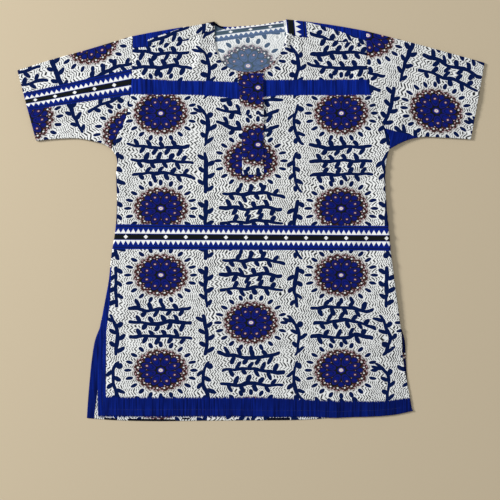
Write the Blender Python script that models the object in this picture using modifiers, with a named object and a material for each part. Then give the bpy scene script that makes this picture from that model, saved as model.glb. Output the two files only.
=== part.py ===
"""A dashiki shirt laid out flat with its front up.

Five pieces of cloth, each a closed wall: a back, a front, two short sleeves and a placket strip. The back
lies on the surface, and its shoulder allowance folds over onto the front, where it meets the front panel at
the shoulder seams. The front lies on the back. Each sleeve is a flattened tube. The strip is on the front.

Lengths in the tables are millimetres: +X to the right, +Y towards the neck, +Z up, with the origin on the
surface under the middle of the shirt's box. The meshes are in metres.
"""

import math
from typing import NamedTuple

import bmesh
import bpy
import numpy as np
from mathutils import Vector, geometry


class Side(NamedTuple):
    """Where both panels' side seams are at a height."""

    y: float
    left: float
    right: float


class Vent(NamedTuple):
    """Where the two panels' vent edges are at a height."""

    y: float
    front_left: float
    front_right: float
    back_left: float
    back_right: float


class Hem(NamedTuple):
    """Where the two panels' hems are at a place across."""

    x: float
    front: float
    back: float


class Shoulder(NamedTuple):
    """Where a shoulder's fold is, and the seam on the front where the back's allowance ends."""

    x: float
    fold: float
    seam: float


class BackNeck(NamedTuple):
    """Where the cut edge of the back is at the neck."""

    x: float
    y: float


class Section(NamedTuple):
    """A line across a sleeve, from its upper fold to its underarm seam, at a share of the way out."""

    out: float
    fold_x: float
    fold_y: float
    under_x: float
    under_y: float


class Ridge(NamedTuple):
    """A soft fold between two points."""

    from_x: float
    from_y: float
    to_x: float
    to_y: float
    half_width: float
    height: float


MM = 0.001

# The cloth
WALL = 1.2
SEAM_GAP = 0.3
FOLD_RADIUS = 1.25  # of the middle of the wall, where the cloth folds back on itself
LOWER_LAYER = WALL / 2  # height of the middle of the wall of what lies on the surface
UPPER_LAYER = LOWER_LAYER + 2 * FOLD_RADIUS  # of what lies on that, away from the seams
PRESSED_LAYER = LOWER_LAYER + WALL + SEAM_GAP  # of the same where a side seam or a hem presses it down
FOLD_FADE = 0.2  # the share of a sleeve's breadth over which its ridges fade out at a fold
PRESSED_MARGIN = 45.0  # how far in from a pressed edge the cloth has risen to the upper layer

# Mesh sizes
FRONT_PITCH = 22.0
BACK_PITCH = 62.0
EDGE_PITCH = 24.0
ARC_STEPS = 4
SHOULDER_STEPS = 8
EDGE_CLEARANCE = 0.4  # how near an outline a point inside it may be, as a share of the pitch
CROSSING_ROUNDS = 6  # how often a crossing of two lines is worked out again

# Side seams, from the underarm to the top of the vents
SIDES = (
    Side(142.0, -278.0, 276.5),
    Side(128.0, -269.5, 272.0),
    Side(90.0, -269.2, 268.0),
    Side(30.0, -267.8, 270.4),
    Side(-20.0, -270.8, 275.1),
    Side(-70.0, -277.5, 279.7),
    Side(-120.0, -282.8, 285.8),
    Side(-216.0, -302.0, 299.0),
)
# Vent edges, from there to the hem; the back spreads past the front, more so on the left
VENTS = (
    Vent(-216.0, -302.0, 299.0, -302.0, 299.0),
    Vent(-236.0, -303.6, 300.4, -309.6, 305.6),
    Vent(-280.0, -305.0, 303.4, -317.6, 309.0),
    Vent(-320.0, -305.6, 310.0, -321.7, 311.4),
    Vent(-360.0, -305.8, 317.4, -324.6, 314.4),
    Vent(-395.0, -306.0, 322.6, -327.2, 316.6),
)
# Hem lines, from left to right
HEMS = (
    Hem(-327.0, -394.0, -395.6),
    Hem(-306.0, -394.4, -397.4),
    Hem(-250.0, -393.8, -400.4),
    Hem(-200.0, -393.6, -401.4),
    Hem(-100.0, -394.2, -400.6),
    Hem(0.0, -395.2, -400.0),
    Hem(104.0, -396.4, -398.8),
    Hem(176.0, -394.2, -394.0),
    Hem(254.0, -390.0, -385.6),
    Hem(322.6, -380.0, -374.0),
)
# Armhole seams, from the underarm up; the last row is past the shoulder fold
ARMHOLES = (
    Side(142.0, -278.0, 276.5),
    Side(160.0, -270.0, 276.5),
    Side(180.0, -261.5, 269.0),
    Side(200.0, -251.0, 260.0),
    Side(220.0, -245.0, 251.5),
    Side(250.0, -240.4, 240.5),
    Side(280.0, -238.0, 234.4),
    Side(320.0, -237.0, 231.6),
    Side(380.0, -236.0, 230.0),
)
# Shoulders: the fold along the top, and the seam on the front where the allowance ends
LEFT_SHOULDER = (
    Shoulder(-240.0, 366.2, 343.6),
    Shoulder(-204.0, 373.5, 346.0),
    Shoulder(-170.0, 379.4, 351.6),
    Shoulder(-140.0, 384.4, 358.6),
    Shoulder(-110.0, 388.8, 367.0),
    Shoulder(-73.0, 396.4, 380.6),
)
RIGHT_SHOULDER = (
    Shoulder(70.0, 400.6, 374.4),
    Shoulder(106.0, 396.7, 365.0),
    Shoulder(148.0, 391.3, 360.6),
    Shoulder(188.0, 385.0, 356.2),
    Shoulder(234.0, 376.4, 347.4),
)
NECK_LEFT = -73.0
NECK_RIGHT = 70.0
# The cut edge of the back at the neck, from left to right
BACK_NECK = (
    BackNeck(NECK_LEFT, 395.0),
    BackNeck(-62.0, 388.0),
    BackNeck(-48.0, 386.0),
    BackNeck(-18.0, 387.0),
    BackNeck(18.0, 390.0),
    BackNeck(46.0, 394.6),
    BackNeck(NECK_RIGHT, 399.2),
)
BACK_NECK_STEPS = 9
# The front's neck is a U: two quarters of a superellipse, each with its own roundness
NECK_BOTTOM = 295.5
NECK_ROUNDNESS = {"left": 2.8, "right": 1.95}
NECK_STEPS = 9
# Sleeves, on the way out from the armhole, whose own ends come before these
LEFT_SLEEVE = (
    Section(0.18, -277.0, 355.0, -297.0, 152.4),
    Section(0.40, -330.0, 339.2, -340.0, 162.2),
    Section(0.70, -400.0, 319.6, -387.0, 162.0),
    Section(1.00, -466.0, 298.8, -428.6, 158.0),
)
RIGHT_SLEEVE = (
    Section(0.18, 272.0, 366.6, 304.0, 156.0),
    Section(0.40, 325.0, 353.0, 336.0, 165.0),
    Section(0.70, 400.0, 332.4, 386.0, 164.4),
    Section(1.00, 466.0, 314.0, 438.6, 161.0),
)
SLEEVE_RINGS = 9
ARMHOLE_STEPS = 10
# The placket strip, a little wider at the neck; its rows' points are among the front's
PLACKET = (
    Side(292.5, -26.5, 25.0),
    Side(218.0, -20.0, 25.0),
    Side(91.0, -16.5, 25.0),
)
PLACKET_ROWS = 9
# The largest folds of the upper layer, as soft ridges between two points
RIDGES = (
    Ridge(-98.0, 352.0, -116.0, 300.0, 22.0, 1.0),
    Ridge(92.0, 350.0, 112.0, 300.0, 22.0, 1.2),
    Ridge(-216.0, 290.0, -232.0, 206.0, 24.0, 1.4),
    Ridge(212.0, 286.0, 232.0, 208.0, 24.0, 1.4),
    Ridge(-236.0, 108.0, -170.0, 62.0, 26.0, 1.2),
    Ridge(236.0, 110.0, 176.0, 70.0, 26.0, 1.2),
    Ridge(-330.0, 260.0, -392.0, 232.0, 26.0, 1.3),
    Ridge(322.0, 262.0, 396.0, 240.0, 26.0, 1.3),
    Ridge(-150.0, -150.0, -60.0, -176.0, 34.0, 1.0),
    Ridge(110.0, -60.0, 210.0, -40.0, 34.0, 1.0),
)

BLUE = (0.010, 0.018, 0.22)
PALE_PRINT = (0.46, 0.49, 0.56)
PRINT_ROUGHNESS = 0.72
# Each piece has its own shade of the print, so that they can be told apart
SHADES = {
    "back_panel": 0.82,
    "front_panel": 1.0,
    "sleeve_left": 0.94,
    "sleeve_right": 0.9,
    "placket_strip": 0.3,
}


def column(table, name):
    """One named column of a table, as an array."""
    return np.array([getattr(row, name) for row in table])


def smooth(knots, values, at):
    """Read a smooth curve through (knot, value) pairs at the places asked for."""
    order = np.argsort(knots)
    knots = np.asarray(knots, float)[order]
    values = np.asarray(values, float)[order]
    slopes = np.gradient(values, knots)
    at = np.asarray(at, float)
    low = np.clip(np.searchsorted(knots, at, side="right") - 1, 0, len(knots) - 2)
    span = knots[low + 1] - knots[low]
    t = np.clip((at - knots[low]) / span, 0.0, 1.0)
    start = (1 + 2 * t) * (1 - t) ** 2 * values[low] + t * (1 - t) ** 2 * span * slopes[low]
    end = t * t * (3 - 2 * t) * values[low + 1] - t * t * (1 - t) * span * slopes[low + 1]
    return start + end


def steps_for(length, pitch):
    """How many steps of about the pitch a length takes."""
    return max(2, math.ceil(abs(length) / pitch))


def ease(value):
    """A smooth step from 0 to 1."""
    t = np.clip(value, 0.0, 1.0)
    return t * t * (3 - 2 * t)


def read(table, name, at):
    """A table's named column at a place in its first column."""
    return float(smooth(column(table, table[0]._fields[0]), column(table, name), at))


def side_x(y, side, panel):
    """Where the side of a panel is at a height y: its seam, its vent or, above the underarm, its armhole."""
    if y > SIDES[0].y:
        return read(ARMHOLES, side, y)
    if y >= VENTS[0].y:
        return read(SIDES, side, y)
    return read(VENTS, f"{panel}_{side}", y)


def hem_y(x, panel):
    """Where a panel's hem is at a place x."""
    return read(HEMS, panel, x)


def shoulder_y(x, line):
    """Where the shoulder's fold or seam is at a place x."""
    return read(LEFT_SHOULDER if x < 0 else RIGHT_SHOULDER, line, x)


def armhole_corner(side, line):
    """The point where an armhole seam crosses the shoulder's fold or seam."""
    x = LEFT_SHOULDER[0].x if side == "left" else RIGHT_SHOULDER[-1].x
    for _ in range(CROSSING_ROUNDS):
        x = side_x(shoulder_y(x, line), side, "front")
    return x, shoulder_y(x, line)


def upper_height(x, y):
    """Height of the middle of the wall of the upper layer, raised and ridged, and pressed at its edges."""
    ridges = 0.0
    place = np.array((x, y))
    for ridge in RIDGES:
        start = np.array((ridge.from_x, ridge.from_y))
        run = np.array((ridge.to_x, ridge.to_y)) - start
        along = np.clip((place - start) @ run / (run @ run), 0.0, 1.0)
        away = np.linalg.norm(place - start - along * run)
        ridges += ridge.height * math.exp(-((away / ridge.half_width) ** 2))
    pressed_below = SIDES[0].y - PRESSED_MARGIN
    side = min(x - side_x(y, "left", "front"), side_x(y, "right", "front") - x) / PRESSED_MARGIN
    side = max(float(ease(side)), float(ease((y - pressed_below) / PRESSED_MARGIN)))
    hem = float(ease((y - hem_y(x, "front")) / PRESSED_MARGIN))
    risen = side * hem
    return PRESSED_LAYER + (UPPER_LAYER - PRESSED_LAYER + ridges) * risen


def sleeve_height(x, y, across):
    """Height of the upper layer of a sleeve, whose ridges fade out at its two folds."""
    open_cloth = ease(min(across, 1.0 - across) / FOLD_FADE)
    ridged = upper_height(x, max(y, SIDES[0].y))
    return UPPER_LAYER + (ridged - UPPER_LAYER) * float(open_cloth)


def armhole_path(side, top=math.inf):
    """Points down an armhole seam, from the shoulder's fold or a lower height to the underarm.

    The panels and the sleeve share them, so that their edges run side by side.
    """
    fold_y = armhole_corner(side, "fold")[1]
    heights = np.linspace(fold_y, SIDES[0].y, ARMHOLE_STEPS + 1)
    if top < fold_y:
        heights = [top, *heights[heights < top - EDGE_PITCH / 4]]
    return [(side_x(y, side, "front"), float(y)) for y in heights]


def beside(path, distance):
    """A path moved to the left of the way it runs by a distance."""
    runs = np.gradient(np.array(path), axis=0)
    lefts = np.stack((-runs[:, 1], runs[:, 0]), axis=1) / np.linalg.norm(runs, axis=1)[:, None]
    return [tuple(point) for point in np.array(path) + lefts * distance]


def side_path(side, panel, pitch):
    """Points down a panel's side seam and vent, from below the underarm to above the hem."""
    bottom = VENTS[-1].y
    heights = [row.y for row in SIDES[1:]]
    heights += list(np.linspace(VENTS[0].y, bottom, steps_for(VENTS[0].y - bottom, pitch) + 1)[1:-1])
    return [(side_x(y, side, panel), float(y)) for y in heights]


def hem_path(panel, pitch):
    """Points along a panel's hem, from its left corner to its right one."""
    left = side_x(VENTS[-1].y, "left", panel)
    right = side_x(VENTS[-1].y, "right", panel)
    places = np.linspace(left, right, steps_for(right - left, pitch) + 1)
    return [(float(x), hem_y(x, panel)) for x in places]


def neck_path():
    """Points of the front's U, from its left end round the bottom to its right end."""
    middle = (NECK_LEFT + NECK_RIGHT) / 2
    half_width = (NECK_RIGHT - NECK_LEFT) / 2
    points = []
    for side, end, turns in (("left", NECK_LEFT, -1.0), ("right", NECK_RIGHT, 1.0)):
        power = 2.0 / NECK_ROUNDNESS[side]
        top = shoulder_y(end, "seam") - SEAM_GAP
        quarter = []
        for step in range(NECK_STEPS + 1):
            angle = math.pi / 2 * step / NECK_STEPS
            x = middle + turns * half_width * math.cos(angle) ** power
            y = top - (top - NECK_BOTTOM) * math.sin(angle) ** power
            quarter.append((x, y))
        points += quarter if side == "left" else quarter[-2::-1]
    return points


def shoulder_path(side, line, lowered=0.0):
    """Points along a shoulder's fold or seam, moved down by a distance, from the armhole to the neck."""
    corner_x, _ = armhole_corner(side, line)
    neck_x = NECK_LEFT if side == "left" else NECK_RIGHT
    places = np.linspace(corner_x, neck_x, SHOULDER_STEPS + 1)
    return [(float(x), shoulder_y(x, line) - lowered) for x in places]


def inside(point, outline):
    """Whether a point is inside a closed outline."""
    x, y = point
    within = False
    for (ax, ay), (bx, by) in zip(outline, outline[1:] + outline[:1]):
        if (ay > y) != (by > y) and x < (bx - ax) * (y - ay) / (by - ay) + ax:
            within = not within
    return within


def distance_to(point, outline):
    """How far a point is from a closed outline."""
    place = Vector(point)
    nearest = math.inf
    for a, b in zip(outline, outline[1:] + outline[:1]):
        on_line, along = geometry.intersect_point_line(place, Vector(a), Vector(b))
        foot = Vector(a) if along < 0 else Vector(b) if along > 1 else Vector(on_line[:2])
        nearest = min(nearest, (place - Vector(foot[:2])).length)
    return nearest


def fill(outline, pitch, lines=()):
    """Triangulate an outline, with points inside it at about the pitch, keeping inner closed lines."""
    low = np.min(outline, axis=0)
    high = np.max(outline, axis=0)
    points = list(outline)
    edges = []
    for line in lines:
        first = len(points)
        points += line
        edges += [(first + i, first + (i + 1) % len(line)) for i in range(len(line))]
    row_pitch = pitch * math.sqrt(3) / 2
    for row in range(int((high[1] - low[1]) / row_pitch) + 1):
        for step in range(int((high[0] - low[0]) / pitch) + 1):
            point = (low[0] + (step + 0.5 * (row % 2)) * pitch, low[1] + row * row_pitch)
            clear = all(distance_to(point, line) > EDGE_CLEARANCE * pitch for line in (outline, *lines))
            if clear and inside(point, outline):
                points.append(point)
    rim = [list(range(len(outline)))]
    corners, _, faces, *_ = geometry.delaunay_2d_cdt([Vector(p) for p in points], edges, rim, 1, 1e-5)
    return [tuple(c) for c in corners], [tuple(f) for f in faces]


def make_piece(name, points, faces, collection):
    """Make one piece of cloth from the middle of its wall, given in millimetres."""
    mesh = bpy.data.meshes.new(name)
    mesh.from_pydata([tuple(np.array(point) * MM) for point in points], [], faces)
    form = bmesh.new()
    form.from_mesh(mesh)
    bmesh.ops.remove_doubles(form, verts=form.verts, dist=0.01 * MM)
    bmesh.ops.recalc_face_normals(form, faces=form.faces)
    form.to_mesh(mesh)
    form.free()
    piece = bpy.data.objects.new(name, mesh)
    collection.objects.link(piece)
    wall = piece.modifiers.new("wall", "SOLIDIFY")
    wall.thickness = WALL * MM
    wall.offset = 0.0
    wall.use_even_offset = True
    mesh.materials.append(cloth_material(name, SHADES[name]))
    return piece


def cloth_material(name, shade):
    """The piece's own material: printed cotton, between the pale ground and the blue."""
    material = bpy.data.materials.new(f"{name}_cloth")
    material.use_nodes = True
    shader = material.node_tree.nodes["Principled BSDF"]
    colour = [blue + (pale - blue) * shade for blue, pale in zip(BLUE, PALE_PRINT)]
    shader.inputs["Base Color"].default_value = (*colour, 1.0)
    shader.inputs["Roughness"].default_value = PRINT_ROUGHNESS
    shader.inputs["Metallic"].default_value = 0.0
    material.diffuse_color = (*colour, 1.0)
    return material


def bend(centre, outward):
    """Points round a fold, from the lower layer out and up onto the upper one, with both ends."""
    points = []
    for step in range(ARC_STEPS + 1):
        angle = math.pi * step / ARC_STEPS
        place = centre + outward * FOLD_RADIUS * math.sin(angle)
        points.append((*place, LOWER_LAYER + FOLD_RADIUS * (1 - math.cos(angle))))
    return points


def fold_over(fold, seam):
    """Points round the shoulder's fold and along the upper layer to the seam, seen from the side."""
    fold = np.array(fold)
    run = np.array(seam) - fold
    inward = run / np.linalg.norm(run)
    return [*bend(fold + inward * FOLD_RADIUS, -inward), (*seam, upper_height(*seam))]


def shoulder_flap(side):
    """The back's allowance over one shoulder, in rows from the armhole to the neck: its points and faces."""
    folds = shoulder_path(side, "fold")
    seams = shoulder_path(side, "seam")
    return grid([fold_over(fold, seam) for fold, seam in zip(folds, seams)])


def grid(rows, closed=False):
    """Points and square faces of a sheet given as rows of as many points, closed into rings or not."""
    length = len(rows[0])
    points = [point for row in rows for point in row]
    faces = []
    for row in range(len(rows) - 1):
        for step in range(length if closed else length - 1):
            following = (step + 1) % length
            near = row * length
            far = near + length
            faces.append((near + step, near + following, far + following, far + step))
    return points, faces


def build_back(collection):
    """The back: flat on the surface, folded over both shoulders."""
    flaps = {side: shoulder_flap(side) for side in ("left", "right")}
    flap_row = ARC_STEPS + 2
    feet = {side: [point[:2] for point in flaps[side][0][::flap_row]] for side in flaps}
    neck_places = np.linspace(NECK_RIGHT, NECK_LEFT, BACK_NECK_STEPS + 1)
    neck = [(float(x), read(BACK_NECK, "y", x)) for x in neck_places]
    outline = hem_path("back", EDGE_PITCH * 2)
    outline += side_path("right", "back", EDGE_PITCH * 2)[::-1]
    outline += armhole_path("right", feet["right"][0][1])[:0:-1]
    outline += feet["right"]
    outline += neck[1:-1]
    outline += feet["left"][::-1]
    outline += armhole_path("left", feet["left"][0][1])[1:]
    outline += side_path("left", "back", EDGE_PITCH * 2)
    corners, faces = fill(outline, BACK_PITCH)
    points = [(x, y, LOWER_LAYER) for x, y in corners]
    for flap_points, flap_faces in flaps.values():
        first = len(points)
        points += flap_points
        faces += [tuple(first + corner for corner in face) for face in flap_faces]
    return make_piece("back_panel", points, faces, collection)


def placket_outline():
    """The strip's closed outline, down its left edge and up its right one."""
    heights = np.linspace(PLACKET[0].y, PLACKET[-1].y, PLACKET_ROWS + 1)
    left, right = ([(read(PLACKET, side, y), float(y)) for y in heights] for side in ("left", "right"))
    return left + right[::-1]


def build_front_and_placket(collection):
    """The front, on the back, and the strip, made from the front's own points and moved out."""
    shoulders = {side: shoulder_path(side, "seam", lowered=SEAM_GAP) for side in ("left", "right")}
    outline = hem_path("front", EDGE_PITCH)
    outline += side_path("right", "front", EDGE_PITCH)[::-1]
    outline += armhole_path("right", shoulders["right"][0][1])[:0:-1]
    outline += shoulders["right"][:-1]
    outline += neck_path()[::-1]
    outline += shoulders["left"][-2::-1]
    outline += armhole_path("left", shoulders["left"][0][1])[1:]
    outline += side_path("left", "front", EDGE_PITCH)
    strip = placket_outline()
    corners, faces = fill(outline, FRONT_PITCH, [strip])
    points = [(x, y, upper_height(x, y)) for x, y in corners]
    front = make_piece("front_panel", points, faces, collection)
    rise = WALL + SEAM_GAP
    strip_faces = [face for face in faces if inside(np.mean([corners[i] for i in face], axis=0), strip)]
    used = sorted({corner for face in strip_faces for corner in face})
    renumbered = {corner: place for place, corner in enumerate(used)}
    strip_points = [(*points[corner][:2], points[corner][2] + rise) for corner in used]
    strip_faces = [tuple(renumbered[corner] for corner in face) for face in strip_faces]
    return front, make_piece("placket_strip", strip_points, strip_faces, collection)


def sleeve_section(out, table, seam_path):
    """The line across a flattened sleeve, from its fold to its underarm seam, at a share of the way out.

    It follows the armhole's curve at the body and is straight at the cuff.
    """
    rows = (Section(0.0, *seam_path[0], *seam_path[-1]), *table)
    fold_x, fold_y, under_x, under_y = (read(rows, name, out) for name in Section._fields[1:])
    shares = np.linspace(0.0, 1.0, len(seam_path))[:, None]
    seam = np.array(seam_path)
    bulge = seam - seam[0] - (seam[-1] - seam[0]) * shares
    straight = np.array((fold_x, fold_y)) * (1 - shares) + np.array((under_x, under_y)) * shares
    return list(straight + bulge * (1 - float(ease(out))))


def build_sleeve(side, table, collection):
    """One sleeve: a flattened tube, folded along its top and seamed under the arm."""
    seam_path = beside(armhole_path(side), SEAM_GAP if side == "right" else -SEAM_GAP)
    rings = []
    for ring in range(SLEEVE_RINGS + 1):
        section = sleeve_section(ring / SLEEVE_RINGS, table, seam_path)
        inward = (section[-1] - section[0]) / np.linalg.norm(section[-1] - section[0])
        start = section[0] + inward * FOLD_RADIUS
        end = section[-1] - inward * FOLD_RADIUS
        line = [start, *section[1:-1], end]
        shares = np.linspace(0.0, 1.0, len(line))
        points = [(*point, LOWER_LAYER) for point in line]
        points += bend(end, inward)[1:-1]
        points += [(*point, sleeve_height(*point, share)) for point, share in zip(line[::-1], shares[::-1])]
        points += bend(start, -inward)[-2:0:-1]
        rings.append(points)
    return make_piece(f"sleeve_{side}", *grid(rings, closed=True), collection)


def main():
    """Build the shirt."""
    for leftover in list(bpy.data.objects):
        bpy.data.objects.remove(leftover, do_unlink=True)
    collection = bpy.data.collections.new("dashiki_shirt")
    bpy.context.scene.collection.children.link(collection)
    build_back(collection)
    build_front_and_placket(collection)
    build_sleeve("left", LEFT_SLEEVE, collection)
    build_sleeve("right", RIGHT_SLEEVE, collection)


main()
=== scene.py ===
"""The looks of a dashiki shirt laid out flat with its front up.

The shirt is five pieces of printed cotton: a back whose shoulder allowance folds over onto the front, the
front, two sleeves and a placket strip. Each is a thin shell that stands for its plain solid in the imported
model.

Lengths are millimetres, but for the meshes and the stage, which are in metres. +X is to the right, +Y
towards the neck and +Z up, with the origin on the surface under the middle of the shirt.
"""

import logging
import math
from dataclasses import dataclass, field, replace
from enum import Enum
from functools import partialmethod
from typing import Iterable, NamedTuple, Sequence, Union

import bpy
import numpy as np
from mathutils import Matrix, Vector, geometry
from mathutils.bvhtree import BVHTree
from mathutils.kdtree import KDTree

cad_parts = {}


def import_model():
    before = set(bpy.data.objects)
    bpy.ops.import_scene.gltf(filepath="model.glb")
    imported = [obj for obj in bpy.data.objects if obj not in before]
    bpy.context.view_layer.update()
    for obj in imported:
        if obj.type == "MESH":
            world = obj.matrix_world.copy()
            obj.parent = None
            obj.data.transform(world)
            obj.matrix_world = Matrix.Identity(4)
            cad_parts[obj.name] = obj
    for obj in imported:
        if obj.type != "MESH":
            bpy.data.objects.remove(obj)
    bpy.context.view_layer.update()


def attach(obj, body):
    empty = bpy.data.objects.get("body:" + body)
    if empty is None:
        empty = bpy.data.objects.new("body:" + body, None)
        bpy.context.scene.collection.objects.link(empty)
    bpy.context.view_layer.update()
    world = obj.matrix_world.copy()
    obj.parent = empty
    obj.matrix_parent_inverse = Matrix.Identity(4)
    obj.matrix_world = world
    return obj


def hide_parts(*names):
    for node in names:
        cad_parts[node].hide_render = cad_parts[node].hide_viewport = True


LOG = logging.getLogger("dashiki_shirt")

Array = np.ndarray
Faces = Sequence[tuple[int, ...]]
Piece = bpy.types.Object
Material = bpy.types.Material
NodeTree = bpy.types.NodeTree
Colour = tuple[float, float, float]

MM = 0.001
TURN = 2.0 * math.pi
BODY = "root"
CLOTH_ATTRIBUTE = "cloth"


class Hand(Enum):
    """Which side of the shirt, as it lies: the left one is at -X."""

    LEFT = "left"
    RIGHT = "right"

    @property
    def sign(self) -> float:
        """-1 on the left and 1 on the right."""
        return -1.0 if self is Hand.LEFT else 1.0


class Face(Enum):
    """Which face of the cloth is dressed."""

    RIGHT = "right_side"
    WRONG = "wrong_side"


class SlotName(Enum):
    """The record's slots for the pieces' finishes."""

    PRINT = "printed_cotton"
    STRIP = "strip_cotton"


# === The cut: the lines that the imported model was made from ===


class SeamRow(NamedTuple):
    """Where a line on the left and its fellow on the right are at a height."""

    y: float
    left: float
    right: float


class VentRow(NamedTuple):
    """Where the two panels' vent edges are at a height."""

    y: float
    front_left: float
    front_right: float
    back_left: float
    back_right: float


class HemRow(NamedTuple):
    """Where the two panels' hems are at a place across."""

    x: float
    front: float
    back: float


class ShoulderRow(NamedTuple):
    """Where a shoulder's fold is, and the seam on the front where the back's allowance ends."""

    x: float
    fold: float
    seam: float


class NeckRow(NamedTuple):
    """Where the edge of the back is at the neck."""

    x: float
    y: float


class SleeveRow(NamedTuple):
    """A line across a sleeve, from fold to underarm seam, at a share of the way out."""

    out: float
    fold_x: float
    fold_y: float
    under_x: float
    under_y: float


class LiftRow(NamedTuple):
    """How far the cloth stands up at a point of its edge."""

    x: float
    y: float
    rise: float


class Crease(NamedTuple):
    """A soft ridge, or a trough if its height is negative; bow bends it to its left."""

    from_x: float
    from_y: float
    to_x: float
    to_y: float
    bow: float
    half_width: float
    height: float

    def rise(self, points: Array) -> Array:
        """Height that the crease adds to the cloth.

        Args:
            points: rows of X and Y.

        Returns:
            The height at each place.
        """
        start = np.array((self.from_x, self.from_y))
        run = np.array((self.to_x, self.to_y)) - start
        length = np.linalg.norm(run)
        ahead = run / length
        offset = points[:, :2] - start
        along = offset @ ahead / length
        aside = offset @ np.array((-ahead[1], ahead[0])) - self.bow * 4 * along * (1 - along)
        beyond = np.maximum(np.abs(along - 0.5) - CREASE_FULL, 0.0) * length
        spread_out = self.half_width * (CREASE_START + 2 * (1 - CREASE_START) * np.clip(along, 0.0, 1.0))
        fade = np.exp(-((beyond / (CREASE_FADE * length + 0.4 * self.half_width)) ** 2))
        return self.height * np.exp(-(np.abs(aside / spread_out) ** CREASE_ROUNDNESS)) * fade


def table(kind: type, *rows: tuple[float, ...]) -> tuple:
    """A table of one kind of row."""
    return tuple(kind(*row) for row in rows)


# Side seams, from the underarm to the top of the vents
SIDES = table(
    SeamRow,
    (142, -278, 276.5), (128, -269.5, 272), (90, -269.2, 268), (30, -267.8, 270.4), (-20, -270.8, 275.1),
    (-70, -278.7, 279.7), (-120, -284, 285.8), (-160, -291.2, 291.2), (-216, -301.9, 299),
)
# Vent edges, from there to the hem; the back spreads past the front
VENTS = table(
    VentRow,
    (-216, -301.9, 299, -301.9, 299), (-236, -303.8, 300.4, -309.9, 305.6),
    (-280, -306, 303.4, -317.9, 309), (-320, -306.2, 310.4, -322, 311.8),
    (-360, -305.4, 318.2, -325.4, 315.2), (-395, -305.2, 323.4, -327.6, 317.4),
)
# Hem lines, from left to right
HEMS = table(
    HemRow,
    (-327, -391.6, -395.6), (-306, -391.4, -397.4), (-284, -389.8, -398.9), (-250, -390.7, -400.4),
    (-200, -390.9, -401.4), (-100, -390.9, -400.6), (0, -391.6, -400), (44, -393.2, -399.8),
    (104, -392.6, -398.8), (136, -393.2, -397), (162, -394.9, -395.2), (200, -393.6, -392),
    (254, -391.8, -385.6), (285, -389, -381), (323.4, -381.2, -374),
)
# Armhole seams, from the underarm up; the last row is past the shoulder fold
ARMHOLES = table(
    SeamRow,
    (142, -278, 276.5), (160, -270, 276.5), (180, -261.5, 269), (200, -251, 260), (220, -245, 251.5),
    (250, -240.4, 240.5), (280, -238, 234.4), (320, -237, 231.6), (380, -236, 230),
)
SHOULDERS = {
    Hand.LEFT: table(
        ShoulderRow,
        (-240, 366.2, 343.6), (-204, 373.5, 346), (-170, 379.4, 351.6), (-140, 384.4, 358.6),
        (-110, 388.8, 367), (-73, 396.4, 380.6),
    ),
    Hand.RIGHT: table(
        ShoulderRow,
        (234, 376.4, 347.4), (188, 385, 356.2), (148, 391.3, 360.6), (106, 396.7, 365),
        (70, 400.6, 374.4),
    ),
}
NECK_ENDS = {Hand.LEFT: -73.0, Hand.RIGHT: 70.0}
BACK_NECK = table(
    NeckRow,
    (-73, 395), (-62, 388), (-48, 386), (-18, 387), (18, 390), (46, 394.6), (70, 399.2),
)
# The front's neck is a U: two quarters of a superellipse, each with its own roundness
NECK_BOTTOM = 295.5
NECK_ROUNDNESS = {Hand.LEFT: 2.8, Hand.RIGHT: 1.95}
SLEEVES = {
    Hand.LEFT: table(
        SleeveRow,
        (0.18, -277, 355, -297, 152.4), (0.4, -330, 339.2, -340, 162.2), (0.7, -400, 319.6, -387, 162),
        (1.0, -466, 298.8, -428.6, 158),
    ),
    Hand.RIGHT: table(
        SleeveRow,
        (0.18, 272, 366.6, 304, 156), (0.4, 325, 353, 336, 165), (0.7, 400, 332.4, 386, 164.4),
        (1.0, 466, 314, 438.6, 161),
    ),
}
PLACKET = table(
    SeamRow,
    (292.5, -26.5, 25), (218, -20, 25), (91, -16.5, 25),
)
SEAM_GAP = 0.3

# === The lie of the cloth ===

CLOTH = 0.5  # thickness of one layer
HALF_CLOTH = CLOTH / 2
LOWER = 0.3  # height of the middle of a layer that lies on the surface
UPPER = 3.1  # of one that lies on another, away from stitched edges
PRESSED = 2.0  # of the same where a hem or a side seam presses it down
FOLD_RADIUS = (UPPER - LOWER) / 2
PRESSED_MARGIN = 45.0  # how far in from a pressed edge the cloth has risen
EDGE_ROUNDING = 0.45  # how far a raw edge stands out, as a share of its thickness
CREASE_FULL = 0.32  # share of its length, to either side of its middle, that a crease is at its full height
CREASE_FADE = 0.2  # share of its length that it takes to fade past there
CREASE_START = 0.75  # its breadth where it starts, as a share of its breadth in the middle
CREASE_ROUNDNESS = 1.7
CAST_HEIGHT = 0.05  # metres from the surface, above or below, at which stitches are dropped onto the cloth

# How high the lower edges stand off the surface, from each cuff to the vent
STANDING = {
    Hand.LEFT: table(
        LiftRow,
        (-428.6, 158, 0.5), (-340, 162.2, 1), (-297, 152.4, 2.2), (-278, 142, 2.8), (-269.2, 96, 1.8),
        (-268, 30, 0.8), (-285.2, -120, 0.6), (-303, -216, 0.4), (-306, -270, 0),
    ),
    Hand.RIGHT: table(
        LiftRow,
        (438.6, 161, 0.5), (336, 165, 0.9), (304, 156, 1.6), (276.5, 142, 2.4), (268, 96, 4.2),
        (270.4, 30, 4.8), (281, -84, 5), (291.2, -160, 4.6), (299, -216, 3.4), (302, -256, 0.8),
        (306, -300, 0),
    ),
}
STANDING_REACH = 24.0

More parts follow.
